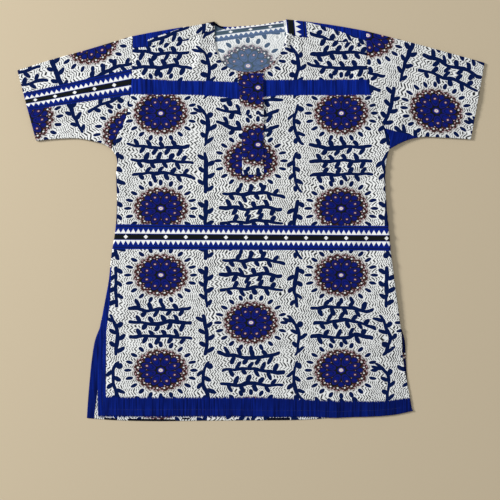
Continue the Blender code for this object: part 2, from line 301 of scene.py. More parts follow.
# Folds of the front
FRONT_CREASES = table(
    Crease,
    (-104, 374, -112, 300, 5, 7.2, 2.3), (-84, 358, -88, 318, 2, 3.6, -1.03),
    (76, 372, 73, 338, -2, 6, 3.2), (94, 354, 112, 296, -7, 7.9, 1.84),
    (-214, 296, -232, 206, 9, 9.4, 2.07), (-198, 250, -214, 176, 7, 7.2, -1.15),
    (212, 290, 234, 204, -8, 9.4, 2.18), (192, 244, 222, 168, -6, 7.2, -1.26),
    (-240, 112, -168, 58, 7, 11.4, 1.69), (-252, 84, -204, 34, 5, 6.6, 1.04),
    (240, 114, 172, 66, -8, 11.4, 1.56), (33, 286, 31, 196, 1, 4.5, -1.92),
    (-32, 240, -28, 120, -1, 6, -0.6), (-120, 222, -52, 168, 9, 13, 1.22),
    (62, 196, 150, 142, -12, 14, 1.08), (-150, -150, -60, -176, 10, 13, 1.35),
    (110, -60, 214, -38, -9, 13, 1.49), (-30, -96, 66, -118, 8, 11, -0.81),
    (-210, -60, -130, -28, 6, 10, 0.94), (40, -250, 152, -232, 10, 12, 1.08),
    (-236, -250, -172, -286, 5, 9, 0.94), (214, -196, 262, -262, 6, 8, 1.08),
    (-196, -388, -170, -338, -3, 7.5, 1), (-84, -390, -92, -352, 2, 5, 0.8),
    (38, -392, 22, -336, -4, 8, 1), (142, -392, 116, -340, 5, 7, 1.6),
    (184, -390, 166, -362, 2, 5.5, 1.2), (256, -386, 232, -344, 4, 8, 1.7),
    (308, -384, 300, -356, 2, 5, 1),
)
# Short puckers drawn in by the side seams' stitches
SIDE_PUCKERS = table(
    Crease,
    (272, 112, 238, 104, 2, 5, 1.71), (271, 90, 246, 87, -1.5, 4, 1.04),
    (271, 66, 232, 70, 2, 5.5, 1.71), (272, 44, 248, 42, 1, 3.8, 0.91), (273, 20, 240, 26, -2, 5.7, 1.9),
    (276, -4, 250, -6, 1, 4, 0.91), (278, -30, 244, -26, 2, 5.5, 1.71),
    (281, -56, 258, -58, -1, 4.2, 0.91), (284, -86, 250, -80, 2, 5.5, 1.33),
    (289, -128, 262, -126, 1, 4.6, 0.65), (-271, 96, -242, 92, 2, 4.6, 0.91),
    (-270, 58, -248, 60, -1, 4, 0.65), (-271, 8, -240, 2, 2, 5, 0.78),
    (-275, -44, -250, -42, 1, 4.4, 0.65), (-285, -112, -256, -116, -2, 5, 0.78),
)
SLEEVE_CREASES = {
    Hand.LEFT: table(
        Crease,
        (-318, 268, -398, 230, 9, 11.2, 1.75), (-262, 322, -318, 296, 5, 7.4, 1.12),
        (-286, 172, -330, 222, -7, 8.1, 1.38), (-300, 196, -362, 206, 5, 5.6, -0.88),
        (-250, 250, -284, 238, 3, 4.3, 1), (-448, 258, -398, 264, 3, 5.6, 1),
        (-432, 196, -392, 190, -2, 5, 0.75),
    ),
    Hand.RIGHT: table(
        Crease,
        (316, 272, 402, 240, -10, 11.2, 1.75), (256, 318, 308, 308, -5, 6.8, 1.25),
        (292, 178, 322, 226, 6, 7.4, 1.5), (318, 200, 372, 204, -4, 5.6, -0.75),
        (248, 262, 282, 250, -3, 4.3, 1), (452, 286, 408, 284, 3, 5.6, 0.88),
        (438, 204, 392, 200, 2, 5, 0.88),
    ),
}
# Folds of the back, which lift it a little off the surface
BACK_CREASES = table(
    Crease,
    (-170, 300, -60, 262, 12, 22, 0.8), (52, 308, 168, 254, -14, 24, 0.9),
    (-220, 96, -110, 40, 10, 20, 0.8), (206, 66, 120, 12, 9, 18, 0.7),
    (-96, -112, 22, -140, 12, 26, 0.9), (84, -226, 206, -198, -10, 22, 0.8),
    (-232, -262, -150, -300, 7, 18, 0.7), (-36, 366, 14, 330, 6, 12, 0.7), (8, 372, 46, 340, 4, 8, 0.5),
)
# Slow swells of the cloth: how high each is, how long across and up, and where it starts
SWELLS = ((0.26, 173, 241, 0.4), (0.2, -118, 139, 1.9), (0.12, 67, -81, 4.1), (0.07, 41, 53, 2.6))


@dataclass(frozen=True)
class Edge:
    """How an edge is finished: turned in and stitched down, or rolled down to a seam."""

    width: float = 12.0  # of what is turned in
    layers: float = 0.55  # thickness of it
    swell: float = 0.28  # how much of it shows on the right side
    dip: float = 0.24  # how deep the stitches pull in
    dip_width: float = 1.3
    drop: float = 0.0  # how far the cloth rolls down to a seam
    roll: float = 3.4  # how far from the seam it starts to
    pucker: float = 0.16
    pucker_length: float = 15.0
    pucker_reach: float = 19.2
    sway: float = 1.3
    slow: float = 2.7

    def relief(self, distance: Array, along: Array) -> Array:
        """Height that the edge adds to the cloth.

        Args:
            distance: how far each point is from the edge.
            along: how far along the edge it is.

        Returns:
            The height at each point.
        """
        turned = ease((self.width + self.dip_width / 2 - distance) / self.dip_width)
        dip = bell((distance - self.width) / self.dip_width)
        near = np.clip(1.0 - distance / self.roll, 0.0, 1.0)
        rolled = self.drop * (1.0 - np.sqrt(1.0 - near**2))
        wave = np.sin(uneven_phase(along, self.pucker_length, self.sway, self.slow))
        puckered = self.pucker * (wave * bell(distance / self.pucker_reach))
        return self.swell * turned - self.dip * dip + puckered - rolled

    def under(self, distance: Array) -> Array:
        """Thickness that the turned cloth adds underneath, at each distance from the edge."""
        return np.where(distance < self.width - 0.2, self.layers, 0.0)


HEM = Edge()
VENT_EDGE = Edge(width=9.0, pucker_length=12.0, pucker_reach=14.4)
BACK_EDGE = Edge(width=19.0, pucker_length=12.0, pucker_reach=30.4)  # the back's hem and vents
CUFF = Edge(width=20.0, pucker=0.2, pucker_length=17.0, pucker_reach=32.0)
NECK_EDGE = replace(CUFF, width=5.0, layers=0.4, swell=0.22, dip=0.18, dip_width=1.0, pucker_reach=8.0)
ARM_SEAM = Edge(
    width=0.0, swell=0.0, dip=0.0, drop=1.1, pucker=0.22, pucker_length=13.0, pucker_reach=13.0, sway=1.7,
    slow=3.1,
)
SIDE_SEAM = replace(ARM_SEAM, roll=4.0, drop=1.05)
SHOULDER_SEAM = replace(ARM_SEAM, roll=3.0, drop=0.9, pucker=0.14)


def column(rows: Sequence[NamedTuple], name: str) -> Array:
    """One named column of a table."""
    return np.array([getattr(row, name) for row in rows], float)


def ease(value: Array) -> Array:
    """A smooth step from 0 to 1."""
    t = np.clip(value, 0.0, 1.0)
    return t * t * (3 - 2 * t)


def bell(value: Array) -> Array:
    """A round hump: 1 at 0, and soon 0 past 1 to either side."""
    return np.exp(-(value**2))


def uneven_phase(along: Array, length: float, sway: float, slow: float) -> Array:
    """Phase of a wave of about a length, which gains and loses sway radians over slow waves."""
    phase = TURN * along / length
    return phase + sway * np.sin(phase / slow)


def read(rows: Sequence[NamedTuple], name: str, at: Array) -> Array:
    """Read a smooth curve through a table's named column.

    Args:
        rows: the table, whose first column is where the values are given.
        name: the column's name.
        at: the places asked for.

    Returns:
        The curve's values at those places.
    """
    rows = sorted(rows)
    knots, values = (column(rows, title) for title in (rows[0]._fields[0], name))
    slopes = np.gradient(values, knots)
    at = np.asarray(at, float)
    low = np.clip(np.searchsorted(knots, at, side="right") - 1, 0, len(knots) - 2)
    span = knots[low + 1] - knots[low]
    t = np.clip((at - knots[low]) / span, 0.0, 1.0)
    start = (1 + 2 * t) * (1 - t) ** 2 * values[low] + t * (1 - t) ** 2 * span * slopes[low]
    end = t * t * (3 - 2 * t) * values[low + 1] - t * t * (1 - t) * span * slopes[low + 1]
    return start + end


def spread(start: float, end: float, pitch: float) -> Array:
    """Places from a start to an end, at about the pitch."""
    return np.linspace(start, end, max(2, math.ceil(abs(end - start) / pitch)) + 1)


def bent(angles: Array) -> Array:
    """Heights at angles up a fold, from the lower layer to the one that lies on it."""
    return LOWER + FOLD_RADIUS * (1 - np.cos(angles))


def unit(vectors: Array) -> Array:
    """Vectors made as long as 1."""
    return vectors / np.maximum(np.linalg.norm(vectors, axis=-1, keepdims=True), 1e-9)


class Path:
    """A line of points on the flat, which measures how far other points are from it and along it."""

    SAMPLE = 1.0

    def __init__(self, points: Sequence[Sequence[float]], closed: bool = False) -> None:
        """Sample the line closely.

        Args:
            points: its corners.
            closed: whether its last corner joins its first.
        """
        corners = np.array(points, float)
        if closed:
            corners = np.vstack((corners, corners[:1]))
        self.corners = corners
        self.reach = np.concatenate(([0.0], np.cumsum(np.linalg.norm(np.diff(corners, axis=0), axis=1))))
        self.length = float(self.reach[-1])
        self.places = spread(0.0, self.length, self.SAMPLE)
        self.samples = self.at(self.places)
        runs = np.gradient(self.samples, axis=0)
        if closed:
            runs[0] = runs[-1] = self.samples[1] - self.samples[-2]
        self.tangents = unit(runs)
        self.tree = KDTree(len(self.samples))
        for place, sample in enumerate(self.samples):
            self.tree.insert((sample[0], sample[1], 0.0), place)
        self.tree.balance()

    def at(self, places: Array) -> Array:
        """Points at distances along the line."""
        return np.stack([np.interp(places, self.reach, self.corners[:, axis]) for axis in (0, 1)], axis=-1)

    def measure(self, points: Array) -> tuple[Array, Array]:
        """Measure points against the line.

        Args:
            points: the points, in rows of X and Y.

        Returns:
            How far each is from the line, and how far along the line it is.
        """
        near = np.array([self.tree.find((x, y, 0.0))[1] for x, y in points[:, :2]])
        offset = points[:, :2] - self.samples[near]
        tangent = self.tangents[near]
        ahead = np.sum(offset * tangent, axis=1)
        aside = offset[:, 0] * tangent[:, 1] - offset[:, 1] * tangent[:, 0]
        beyond = np.maximum(np.abs(ahead) - self.SAMPLE, 0.0)
        return np.hypot(aside, beyond), self.places[near] + np.clip(ahead, -self.SAMPLE, self.SAMPLE)

    def beside(self, distance: float, pitch: float) -> Array:
        """Points at about the pitch along the line, moved to its left by a distance."""
        lefts = np.stack((-self.tangents[:, 1], self.tangents[:, 0]), axis=1)
        return (self.samples + lefts * distance)[:: max(1, round(pitch / self.SAMPLE))]


def is_inside(points: Array, outline: Array) -> Array:
    """Tell which points are inside an outline.

    Args:
        points: rows of X and Y.
        outline: the corners of the closed outline.

    Returns:
        Whether each is inside.
    """
    x, y = points[:, 0], points[:, 1]
    within = np.zeros(len(points), bool)
    for (ax, ay), (bx, by) in zip(outline, np.roll(outline, -1, axis=0)):
        if ay != by:
            within ^= ((ay > y) != (by > y)) & (x < (bx - ax) * (y - ay) / (by - ay) + ax)
    return within


def creased(points: Array, creases: Iterable[Crease]) -> Array:
    """Height that the listed creases add at places in rows of X and Y."""
    return sum(crease.rise(points) for crease in creases)


def swelling(points: Array) -> Array:
    """Height of the slow, uneven swell of cloth laid by hand."""
    x, y = points[:, 0], points[:, 1]
    return sum(height * np.sin(TURN * (x / across + y / up) + start) for height, across, up, start in SWELLS)


def standing(points: Array) -> Array:
    """Height of the edges that stand up, which every layer there shares.

    Args:
        points: rows of X and Y.

    Returns:
        The height at each place.
    """
    height = np.zeros(len(points))
    for rows in STANDING.values():
        line = Path([row[:2] for row in rows])
        distance, along = line.measure(points)
        rise = np.interp(along, line.reach, column(rows, "rise"))
        height = np.maximum(height, rise * bell(distance / STANDING_REACH))
    return height


# === The garment's lines ===


class Panel(Enum):
    """Which of the two panels a line belongs to."""

    FRONT = "front"
    BACK = "back"


@dataclass(frozen=True)
class Cut:
    """The lines of the garment, as points at a pitch."""

    pitch: float = 4.0
    neck_pitch: float = 3.0
    back_neck_pitch: float = 3.05
    scallop: float = 0.9  # how far the right side seam's puckers pull its outline in
    scallop_length: float = 21.0
    scallop_from: float = 118.0
    scallop_to: float = -96.0
    scallop_fade: float = 20.0
    scallop_sway: float = 1.1
    scallop_slow: float = 2.3
    crossing_rounds: int = 6

    def side_x(self, y: Array, hand: Hand, panel: Panel) -> Array:
        """Where the side of a panel is: its seam, its vent or, above the underarm, its armhole.

        Args:
            y: heights.
            hand: which side.
            panel: the front or the back.

        Returns:
            Its X at each height.
        """
        y = np.asarray(y, float)
        seam = read(SIDES, hand.value, y)
        vent = read(VENTS, f"{panel.value}_{hand.value}", y)
        hole = read(ARMHOLES, hand.value, y)
        x = np.where(y > SIDES[0].y, hole, np.where(y >= VENTS[0].y, seam, vent))
        if hand is Hand.RIGHT:
            inside = ease((self.scallop_from - y) / self.scallop_fade)
            inside = inside * ease((y - self.scallop_to) / self.scallop_fade)
            wave = np.cos(uneven_phase(y, self.scallop_length, self.scallop_sway, self.scallop_slow))
            x = x - self.scallop * inside * (0.5 + 0.5 * wave)
        return x

    def corner(self, hand: Hand, line: str) -> tuple[float, float]:
        """Find where an armhole seam crosses a line of the shoulder.

        Args:
            hand: which side.
            line: the shoulder's fold or seam.

        Returns:
            The crossing's X and Y.
        """
        x = SHOULDERS[hand][0].x
        for _ in range(self.crossing_rounds):
            x = float(self.side_x(read(SHOULDERS[hand], line, x), hand, Panel.FRONT))
        return x, float(read(SHOULDERS[hand], line, x))

    def hem_corner(self, hand: Hand, panel: Panel) -> Array:
        """The point where a panel's hem meets its vent edge."""
        x = self.side_x(VENTS[-1].y, hand, panel)
        return np.array((x, read(HEMS, panel.value, x)))

    def side(self, hand: Hand, panel: Panel) -> Array:
        """Points down a panel's side seam and vent, from below the underarm to above the hem."""
        heights = spread(SIDES[0].y, float(self.hem_corner(hand, panel)[1]) + self.pitch, self.pitch)[1:]
        return np.stack((self.side_x(heights, hand, panel), heights), axis=1)

    def seam(self, hand: Hand) -> Array:
        """Points down a side seam only."""
        points = self.side(hand, Panel.FRONT)
        return points[points[:, 1] >= VENTS[0].y]

    def vent(self, hand: Hand, panel: Panel) -> Array:
        """Points down a panel's vent edge only, to its corner."""
        points = self.side(hand, panel)
        return np.vstack((points[points[:, 1] <= VENTS[0].y], self.hem_corner(hand, panel)))

    def hem(self, panel: Panel) -> Array:
        """Points along a panel's hem, from its left corner to its right one."""
        places = spread(*(float(self.hem_corner(hand, panel)[0]) for hand in Hand), self.pitch)
        return np.column_stack((places, read(HEMS, panel.value, places)))

    def armhole(self, hand: Hand, top: float) -> Array:
        """Points down an armhole seam, from a height to the underarm."""
        heights = spread(top, SIDES[0].y, self.pitch)
        return np.stack((self.side_x(heights, hand, Panel.FRONT), heights), axis=1)

    def shoulder(self, hand: Hand, line: str, lowered: float = 0.0) -> Array:
        """Points along a shoulder's fold or seam, lowered, from the armhole to the neck."""
        places = spread(self.corner(hand, line)[0], NECK_ENDS[hand], self.pitch)
        return np.column_stack((places, read(SHOULDERS[hand], line, places) - lowered))

    def neck(self) -> Array:
        """Lay out the front's U.

        Returns:
            Its points, from its left end round the bottom to its right end.
        """
        middle = sum(NECK_ENDS.values()) / 2
        half_width = (NECK_ENDS[Hand.RIGHT] - NECK_ENDS[Hand.LEFT]) / 2
        angles = np.linspace(0.0, math.pi / 2, 60)
        points = []
        for hand in Hand:
            power = 2.0 / NECK_ROUNDNESS[hand]
            top = float(read(SHOULDERS[hand], "seam", NECK_ENDS[hand])) - SEAM_GAP
            x = middle + hand.sign * half_width * np.cos(angles) ** power
            y = top - (top - NECK_BOTTOM) * np.sin(angles) ** power
            quarter = np.stack((x, y), axis=1)
            points.append(quarter if hand is Hand.LEFT else quarter[-2::-1])
        line = Path(np.vstack(points))
        return line.at(spread(0.0, line.length, self.neck_pitch))

    def back_neck(self) -> Array:
        """Points along the back's edge at the neck, from right to left, without its ends."""
        places = spread(BACK_NECK[-1].x, BACK_NECK[0].x, self.back_neck_pitch)
        return np.stack((places, read(BACK_NECK, "y", places)), axis=1)[1:-1]

    def outline(self, panel: Panel, holes: dict[Hand, Array], top: Sequence[Array]) -> Array:
        """A panel's lines, joined anticlockwise from the hem's left corner."""
        right = (self.side(Hand.RIGHT, panel)[::-1], holes[Hand.RIGHT][:0:-1])
        return np.vstack((self.hem(panel), *right, *top, holes[Hand.LEFT][1:], self.side(Hand.LEFT, panel)))


# === Meshes of cloth ===


def by_size(faces: Faces) -> list[Array]:
    """Faces in one array for each number of corners."""
    sizes = {len(face) for face in faces}
    return [np.array([face for face in faces if len(face) == size]) for size in sizes]


def modelled(name: str, points: Array, faces: Faces, cloth: Array, materials: Sequence[Material]) -> Piece:
    """Make a smooth mesh.

    Args:
        name: its name.
        points: its points, in millimetres.
        faces: its faces.
        cloth: where each point is on the flat cut, or along and round a thread.
        materials: its finishes.

    Returns:
        The piece, in the scene.
    """
    mesh = bpy.data.meshes.new(name)
    mesh.from_pydata((points * MM).tolist(), [], faces)
    attribute = mesh.attributes.new(CLOTH_ATTRIBUTE, "FLOAT_VECTOR", "POINT")
    flat = np.column_stack((cloth, np.zeros(len(cloth)))).astype(np.float32)
    attribute.data.foreach_set("vector", flat.ravel())
    for material in materials:
        mesh.materials.append(material)
    mesh.shade_smooth()
    piece = bpy.data.objects.new(name, mesh)
    bpy.context.scene.collection.objects.link(piece)
    return piece


@dataclass
class Sheet:
    """A stretch of cloth, given by the middle of its thickness.

    Its faces turn anticlockwise as its right side is seen.
    """

    points: Array
    faces: Faces
    cloth: Array  # where each point is on the flat cut
    inner: Array  # how far the wrong side is from the middle
    turned: Array  # where an allowance covers the wrong side

    def normals(self) -> Array:
        """Work out the direction that the right side faces.

        Returns:
            It at each point, 1 long.
        """
        normals = np.zeros_like(self.points)
        for faces in by_size(self.faces):
            a, b, c = (self.points[faces[:, corner]] for corner in (0, 1, -1))
            for corners in faces.T:
                np.add.at(normals, corners, np.cross(b - a, c - a))
        return unit(normals)

    def rim(self) -> list[tuple[int, int]]:
        """Ends of the edges that only one face has, in that face's own turn."""
        edges = {edge for face in self.faces for edge in zip(face, face[1:] + face[:1])}
        return sorted(edge for edge in edges if edge[::-1] not in edges)

    def flat_area(self) -> float:
        """Measure the flat cut.

        Returns:
            Its area, in square millimetres.
        """
        doubled = 0.0
        for faces in by_size(self.faces):
            x, y = (self.cloth[faces][..., axis] for axis in (0, 1))
            turns = x * np.roll(y, -1, axis=1) - y * np.roll(x, -1, axis=1)
            doubled += float(np.abs(turns.sum(axis=1)).sum())
        return doubled / 2

    def joined(self, other: "Sheet") -> "Sheet":
        """Join another sheet to this one at the points that they share.

        Args:
            other: the sheet that meets it.

        Returns:
            One sheet of both.
        """
        points = np.vstack((self.points, other.points))
        keys = np.round(points * 100).astype(int)
        _, first, same = np.unique(keys, axis=0, return_index=True, return_inverse=True)
        kept = np.sort(first)
        place = np.searchsorted(kept, first[same.ravel()]).tolist()
        shift = len(self.points)
        faces = [tuple(place[corner] for corner in face) for face in self.faces]
        faces += [tuple(place[corner + shift] for corner in face) for face in other.faces]
        pairs = ((self.cloth, other.cloth), (self.inner, other.inner), (self.turned, other.turned))
        return Sheet(points[kept], faces, *(np.concatenate(pair)[kept] for pair in pairs))

    def dressed(self, name: str, materials: Sequence[Material]) -> Piece:
        """Make the thin closed shell of the cloth.

        Args:
            name: the piece's name.
            materials: the finish of the right side, and of the wrong side.

        Returns:
            The piece.
        """
        count = len(self.points)
        normals = self.normals()
        right = self.points + normals * HALF_CLOTH
        wrong = self.points - normals * self.inner[:, None]
        edges = self.rim()
        outward = np.zeros_like(self.points)
        for a, b in edges:
            away = np.cross(self.points[b] - self.points[a], normals[a] + normals[b])
            outward[a] += away
            outward[b] += away
        ends = np.array(sorted({corner for edge in edges for corner in edge}))
        rounded = (HALF_CLOTH + self.inner[ends]) * EDGE_ROUNDING
        turn = (right[ends] + wrong[ends]) / 2 + unit(outward[ends]) * rounded[:, None]
        place = {corner: 2 * count + step for step, corner in enumerate(ends)}
        faces = list(self.faces)
        faces += [tuple(corner + count for corner in face[::-1]) for face in self.faces]
        faces += [(b, a, place[a], place[b]) for a, b in edges]
        faces += [(place[b], place[a], a + count, b + count) for a, b in edges]
        cloth = np.vstack((self.cloth, self.cloth, self.cloth[ends]))
        piece = modelled(name, np.vstack((right, wrong, turn)), faces, cloth, materials)
        slots = np.zeros(len(faces), np.int32)
        turned_in = [all(self.turned[corner] for corner in face) for face in self.faces]
        slots[len(self.faces) : 2 * len(self.faces)] = np.logical_not(turned_in)
        piece.data.polygons.foreach_set("material_index", slots)
        piece.data.update()
        return piece


def fill(outline: Array, pitch: float, rings: Sequence[float]) -> tuple[Array, Faces]:
    """Triangulate an outline closely, and more closely at its edge.

    Args:
        outline: its corners, anticlockwise.
        pitch: distance between the points inside it.
        rings: distances from the edge at which lines of points run along it.

    Returns:
        The points, in rows of X and Y, and the faces, anticlockwise.
    """
    rim = Path(outline, closed=True)
    layers = [np.asarray(outline, float)]
    for distance in rings:
        ring = rim.beside(distance, pitch)
        clear = rim.measure(ring)[0] > distance - 0.15
        layers.append(ring[clear & is_inside(ring, outline)])
    low, high = outline.min(axis=0), outline.max(axis=0)
    grid = []
    for row, y in enumerate(np.arange(low[1], high[1], pitch * math.sqrt(3) / 2)):
        x = np.arange(low[0] + 0.5 * pitch * (row % 2), high[0], pitch)
        grid.append(np.column_stack((x, np.full(len(x), y))))
    inner = np.vstack(grid)
    inner = inner[is_inside(inner, outline)]
    layers.append(inner[rim.measure(inner)[0] > max(rings) + 0.6 * pitch])
    corners = [Vector(point) for point in np.vstack(layers)]
    border = [list(range(len(outline)))]
    found, _, faces, *_ = geometry.delaunay_2d_cdt(corners, [], border, 1, 1e-5)
    found = np.array([tuple(corner) for corner in found])
    a, b, c = found[list(faces[0][:3])]
    turns_left = (b - a)[0] * (c - a)[1] - (b - a)[1] * (c - a)[0] > 0
    return found, [tuple(face) if turns_left else tuple(face[::-1]) for face in faces]


def grid_faces(rows: int, length: int, flipped: bool = False) -> Faces:
    """Square faces of a grid of points given in rows of a length, which may turn the other way."""
    turn = (length, length + 1, 1, 0) if flipped else (0, 1, length + 1, length)
    return [
        tuple(row * length + step + corner for corner in turn)
        for row in range(rows - 1)
        for step in range(length - 1)
    ]


# === Shader graphs ===

Value = Union["Field", float, Colour, tuple[float, float]]
Inputs = dict[Union[str, int], Value]


class Field:
    """A number, vector or colour that changes over the cloth, as the output of a node, with arithmetic."""

    def __init__(self, graph: "Graph", socket: bpy.types.NodeSocket) -> None:
        """Keep the socket and the graph that it is in."""
        self.graph = graph
        self.socket = socket

    def math(self, operation: str, *others: Value) -> "Field":
        """Arithmetic on this field and others."""
        return self.graph.math(operation, self, *others)

    def __rsub__(self, other: Value) -> "Field":
        """Another value less this field."""
        return self.graph.math("SUBTRACT", other, self)

    __add__ = partialmethod(math, "ADD")
    __sub__ = partialmethod(math, "SUBTRACT")
    __mul__ = partialmethod(math, "MULTIPLY")
    __truediv__ = partialmethod(math, "DIVIDE")
    __abs__ = partialmethod(math, "ABSOLUTE")


class Graph:
    """A node tree that is written as arithmetic."""

    COLUMN = 12

    def __init__(self, tree: NodeTree) -> None:
        """Start on a tree, which may have nodes already."""
        self.tree = tree
        self.made = 0

    def node(self, kind: str, inputs: Inputs, **settings: object) -> bpy.types.Node:
        """Add a node in the next free place.

        Args:
            kind: its type's name.
            inputs: a value for each input, by its name or number.
            settings: its settings, by name.

        Returns:
            The node.
        """
        node = self.tree.nodes.new(kind)
        for name, value in settings.items():
            setattr(node, name, value)
        node.location = (190 * (self.made // self.COLUMN) - 2400, -170 * (self.made % self.COLUMN))
        self.made += 1
        self.feed(node, inputs)
        return node

    def feed(self, node: bpy.types.Node, inputs: Inputs) -> None:
        """Link fields to a node's inputs, or set the inputs to plain values.

        Args:
            node: the node.
            inputs: a value for each input, by its name or number.
        """
        for name, value in inputs.items():
            socket = node.inputs[name]
            if isinstance(value, Field):
                self.tree.links.new(value.socket, socket)
            elif isinstance(value, tuple):
                socket.default_value = (*value, *(1.0,) * (len(socket.default_value) - len(value)))
            else:
                socket.default_value = value

    def put(self, kind: str, output: Union[str, int], inputs: Inputs, **settings: object) -> Field:
        """One output, by its name or number, of a new shader node."""
        return Field(self, self.node(f"ShaderNode{kind}", inputs, **settings).outputs[output])

    def math(self, operation: str, *values: Value, clamp: bool = False) -> Field:
        """Arithmetic on numbers."""
        return self.put("Math", 0, dict(enumerate(values)), operation=operation, use_clamp=clamp)

    def vector_math(self, operation: str, *values: Value) -> Field:
        """Arithmetic on vectors; LENGTH and DOT_PRODUCT give a number."""
        output = "Value" if operation in ("LENGTH", "DOT_PRODUCT") else "Vector"
        return self.put("VectorMath", output, dict(enumerate(values)), operation=operation)

    def scaled(self, vector: Value, factor: Value) -> Field:
        """A vector made longer by a factor."""
        return self.put("VectorMath", "Vector", {0: vector, "Scale": factor}, operation="SCALE")

    def pair(self, x: Value, y: Value) -> Field:
        """A vector on the flat."""
        return self.put("CombineXYZ", "Vector", {"X": x, "Y": y})

    def parts(self, vector: Field) -> tuple[Field, Field]:
        """A vector's X and Y."""
        x = self.put("SeparateXYZ", "X", {"Vector": vector})
        return x, Field(self, x.socket.node.outputs["Y"])

    def turned(self, vector: Value, angle: Value) -> Field:
        """A vector turned about Z by an angle in radians."""
        inputs = {"Vector": vector, "Angle": angle}
        return self.put("VectorRotate", "Vector", inputs, rotation_type="Z_AXIS")

    def within(self, distance: Field, soft: float = 0.35) -> Field:
        """1 where a distance is below 0, and 0 where it is above, with a soft edge."""
        return self.math("MULTIPLY_ADD", distance, -1.0 / soft, 0.5, clamp=True)

    def step(self, value: Field, low: Value, high: Value) -> Field:
        """A smooth step from 0 at one value to 1 at another."""
        inputs = {"Value": value, "From Min": low, "From Max": high}
        return self.put("MapRange", "Result", inputs, interpolation_type="SMOOTHSTEP")

    def mix(self, share: Value, under: Value, over: Value, blend: str = "MIX") -> Field:
        """One colour laid over another by a share."""
        settings = {"data_type": "RGBA", "blend_type": blend, "clamp_factor": True}
        return self.put("Mix", 2, {0: share, 6: under, 7: over}, **settings)

    def noise(self, vector: Value, scale: float, detail: float = 2.0, output: str = "Fac") -> Field:
        """Smooth noise on the flat, from 0 to 1, as a number or, with output="Color", three numbers."""
        inputs = {"Vector": vector, "Scale": scale, "Detail": detail}
        return self.put("TexNoise", output, inputs, noise_dimensions="2D")

    def chance(self, vector: Value) -> Field:
        """An even chance from 0 to 1 for each whole-numbered place."""
        return self.put("TexWhiteNoise", "Value", {"Vector": vector}, noise_dimensions="2D")

    def use(self, group: NodeTree, **inputs: Value) -> dict[str, Field]:
        """Place a node group, and give its outputs by name."""
        node = self.node("ShaderNodeGroup", inputs, node_tree=group)
        return {socket.name: Field(self, socket) for socket in node.outputs}


class GroupGraph(Graph):
    """The inside of a node group with named sockets."""

    KINDS = {"Place": "Vector", "Cloth": "Vector", "Color": "Color"}

    def __init__(self, name: str, inputs: Sequence[str], outputs: Sequence[str]) -> None:
        """Make the group.

        Args:
            name: its name.
            inputs: its inputs' names; a socket is a number unless KINDS says otherwise.
            outputs: its outputs' names.
        """
        super().__init__(bpy.data.node_groups.new(name, "ShaderNodeTree"))
        for direction, sockets in (("INPUT", inputs), ("OUTPUT", outputs)):
            for socket in sockets:
                kind = f"NodeSocket{self.KINDS.get(socket, 'Float')}"
                self.tree.interface.new_socket(socket, in_out=direction, socket_type=kind)
        self.entry = self.node("NodeGroupInput", {})
        self.exit = self.node("NodeGroupOutput", {})

    def given(self, name: str) -> Field:
        """What comes in at a named input."""
        return Field(self, self.entry.outputs[name])

    def strayed(self, scale: float, detail: float, reach: float) -> tuple[Field, Field]:
        """Lead a place on the cloth astray by smooth noise.

        Args:
            scale: how fast the noise changes.
            detail: how rough it is.
            reach: twice as far as it leads.

        Returns:
            The new X and Y.
        """
        cloth = self.given("Cloth")
        drift = self.vector_math("SUBTRACT", self.noise(cloth, scale, detail, "Color"), (0.5, 0.5, 0.5))
        return self.parts(self.vector_math("ADD", cloth, self.scaled(drift, reach)))

    def give(self, **results: Value) -> NodeTree:
        """Send results out.

        Args:
            results: a value for each of the group's outputs, by name.

        Returns:
            The finished group.
        """
        self.feed(self.exit, results)
        self.exit.location = (190 * (self.made // self.COLUMN + 1) - 2400, 0)
        return self.tree


class Finish(Graph):
    """A material's own graph, round its shader."""

    def __init__(self, name: str) -> None:
        """Make the material.

        Args:
            name: its name.
        """
        self.material = bpy.data.materials.new(name)
        self.material.use_nodes = True
        super().__init__(self.material.node_tree)

    def place(self) -> Field:
        """The place that a mesh gives its points, on the cloth or on a thread."""
        return self.put("Attribute", "Vector", {}, attribute_name=CLOTH_ATTRIBUTE)

    def shade(self, values: Inputs) -> None:
        """Feed the shader's sockets, by name."""
        self.feed(self.tree.nodes["Principled BSDF"], values)

    def bump(self, height: Field, distance: float, strength: float = 1.0) -> None:
        """Let a height shade the surface."""
        inputs = {"Strength": strength, "Distance": distance, "Height": height}
        self.shade({"Normal": self.put("Bump", "Normal", inputs)})


# === The print ===


@dataclass(frozen=True)
class Inks:
    """The print's colours."""

    white: Colour = (0.84, 0.85, 0.83)
    gap: Colour = (0.012, 0.014, 0.018)
    royal: Colour = (0.0018, 0.0125, 0.175)
    petal: Colour = (0.003, 0.01, 0.175)
    plum: Colour = (0.017, 0.008, 0.085)
    navy: Colour = (0.001, 0.0078, 0.058)
    black: Colour = (0.006, 0.008, 0.0085)
    brown: Colour = (0.05, 0.017, 0.016)
    pink: Colour = (0.55, 0.36, 0.4)
    halo: Colour = (0.26, 0.21, 0.2)


INKS = Inks()


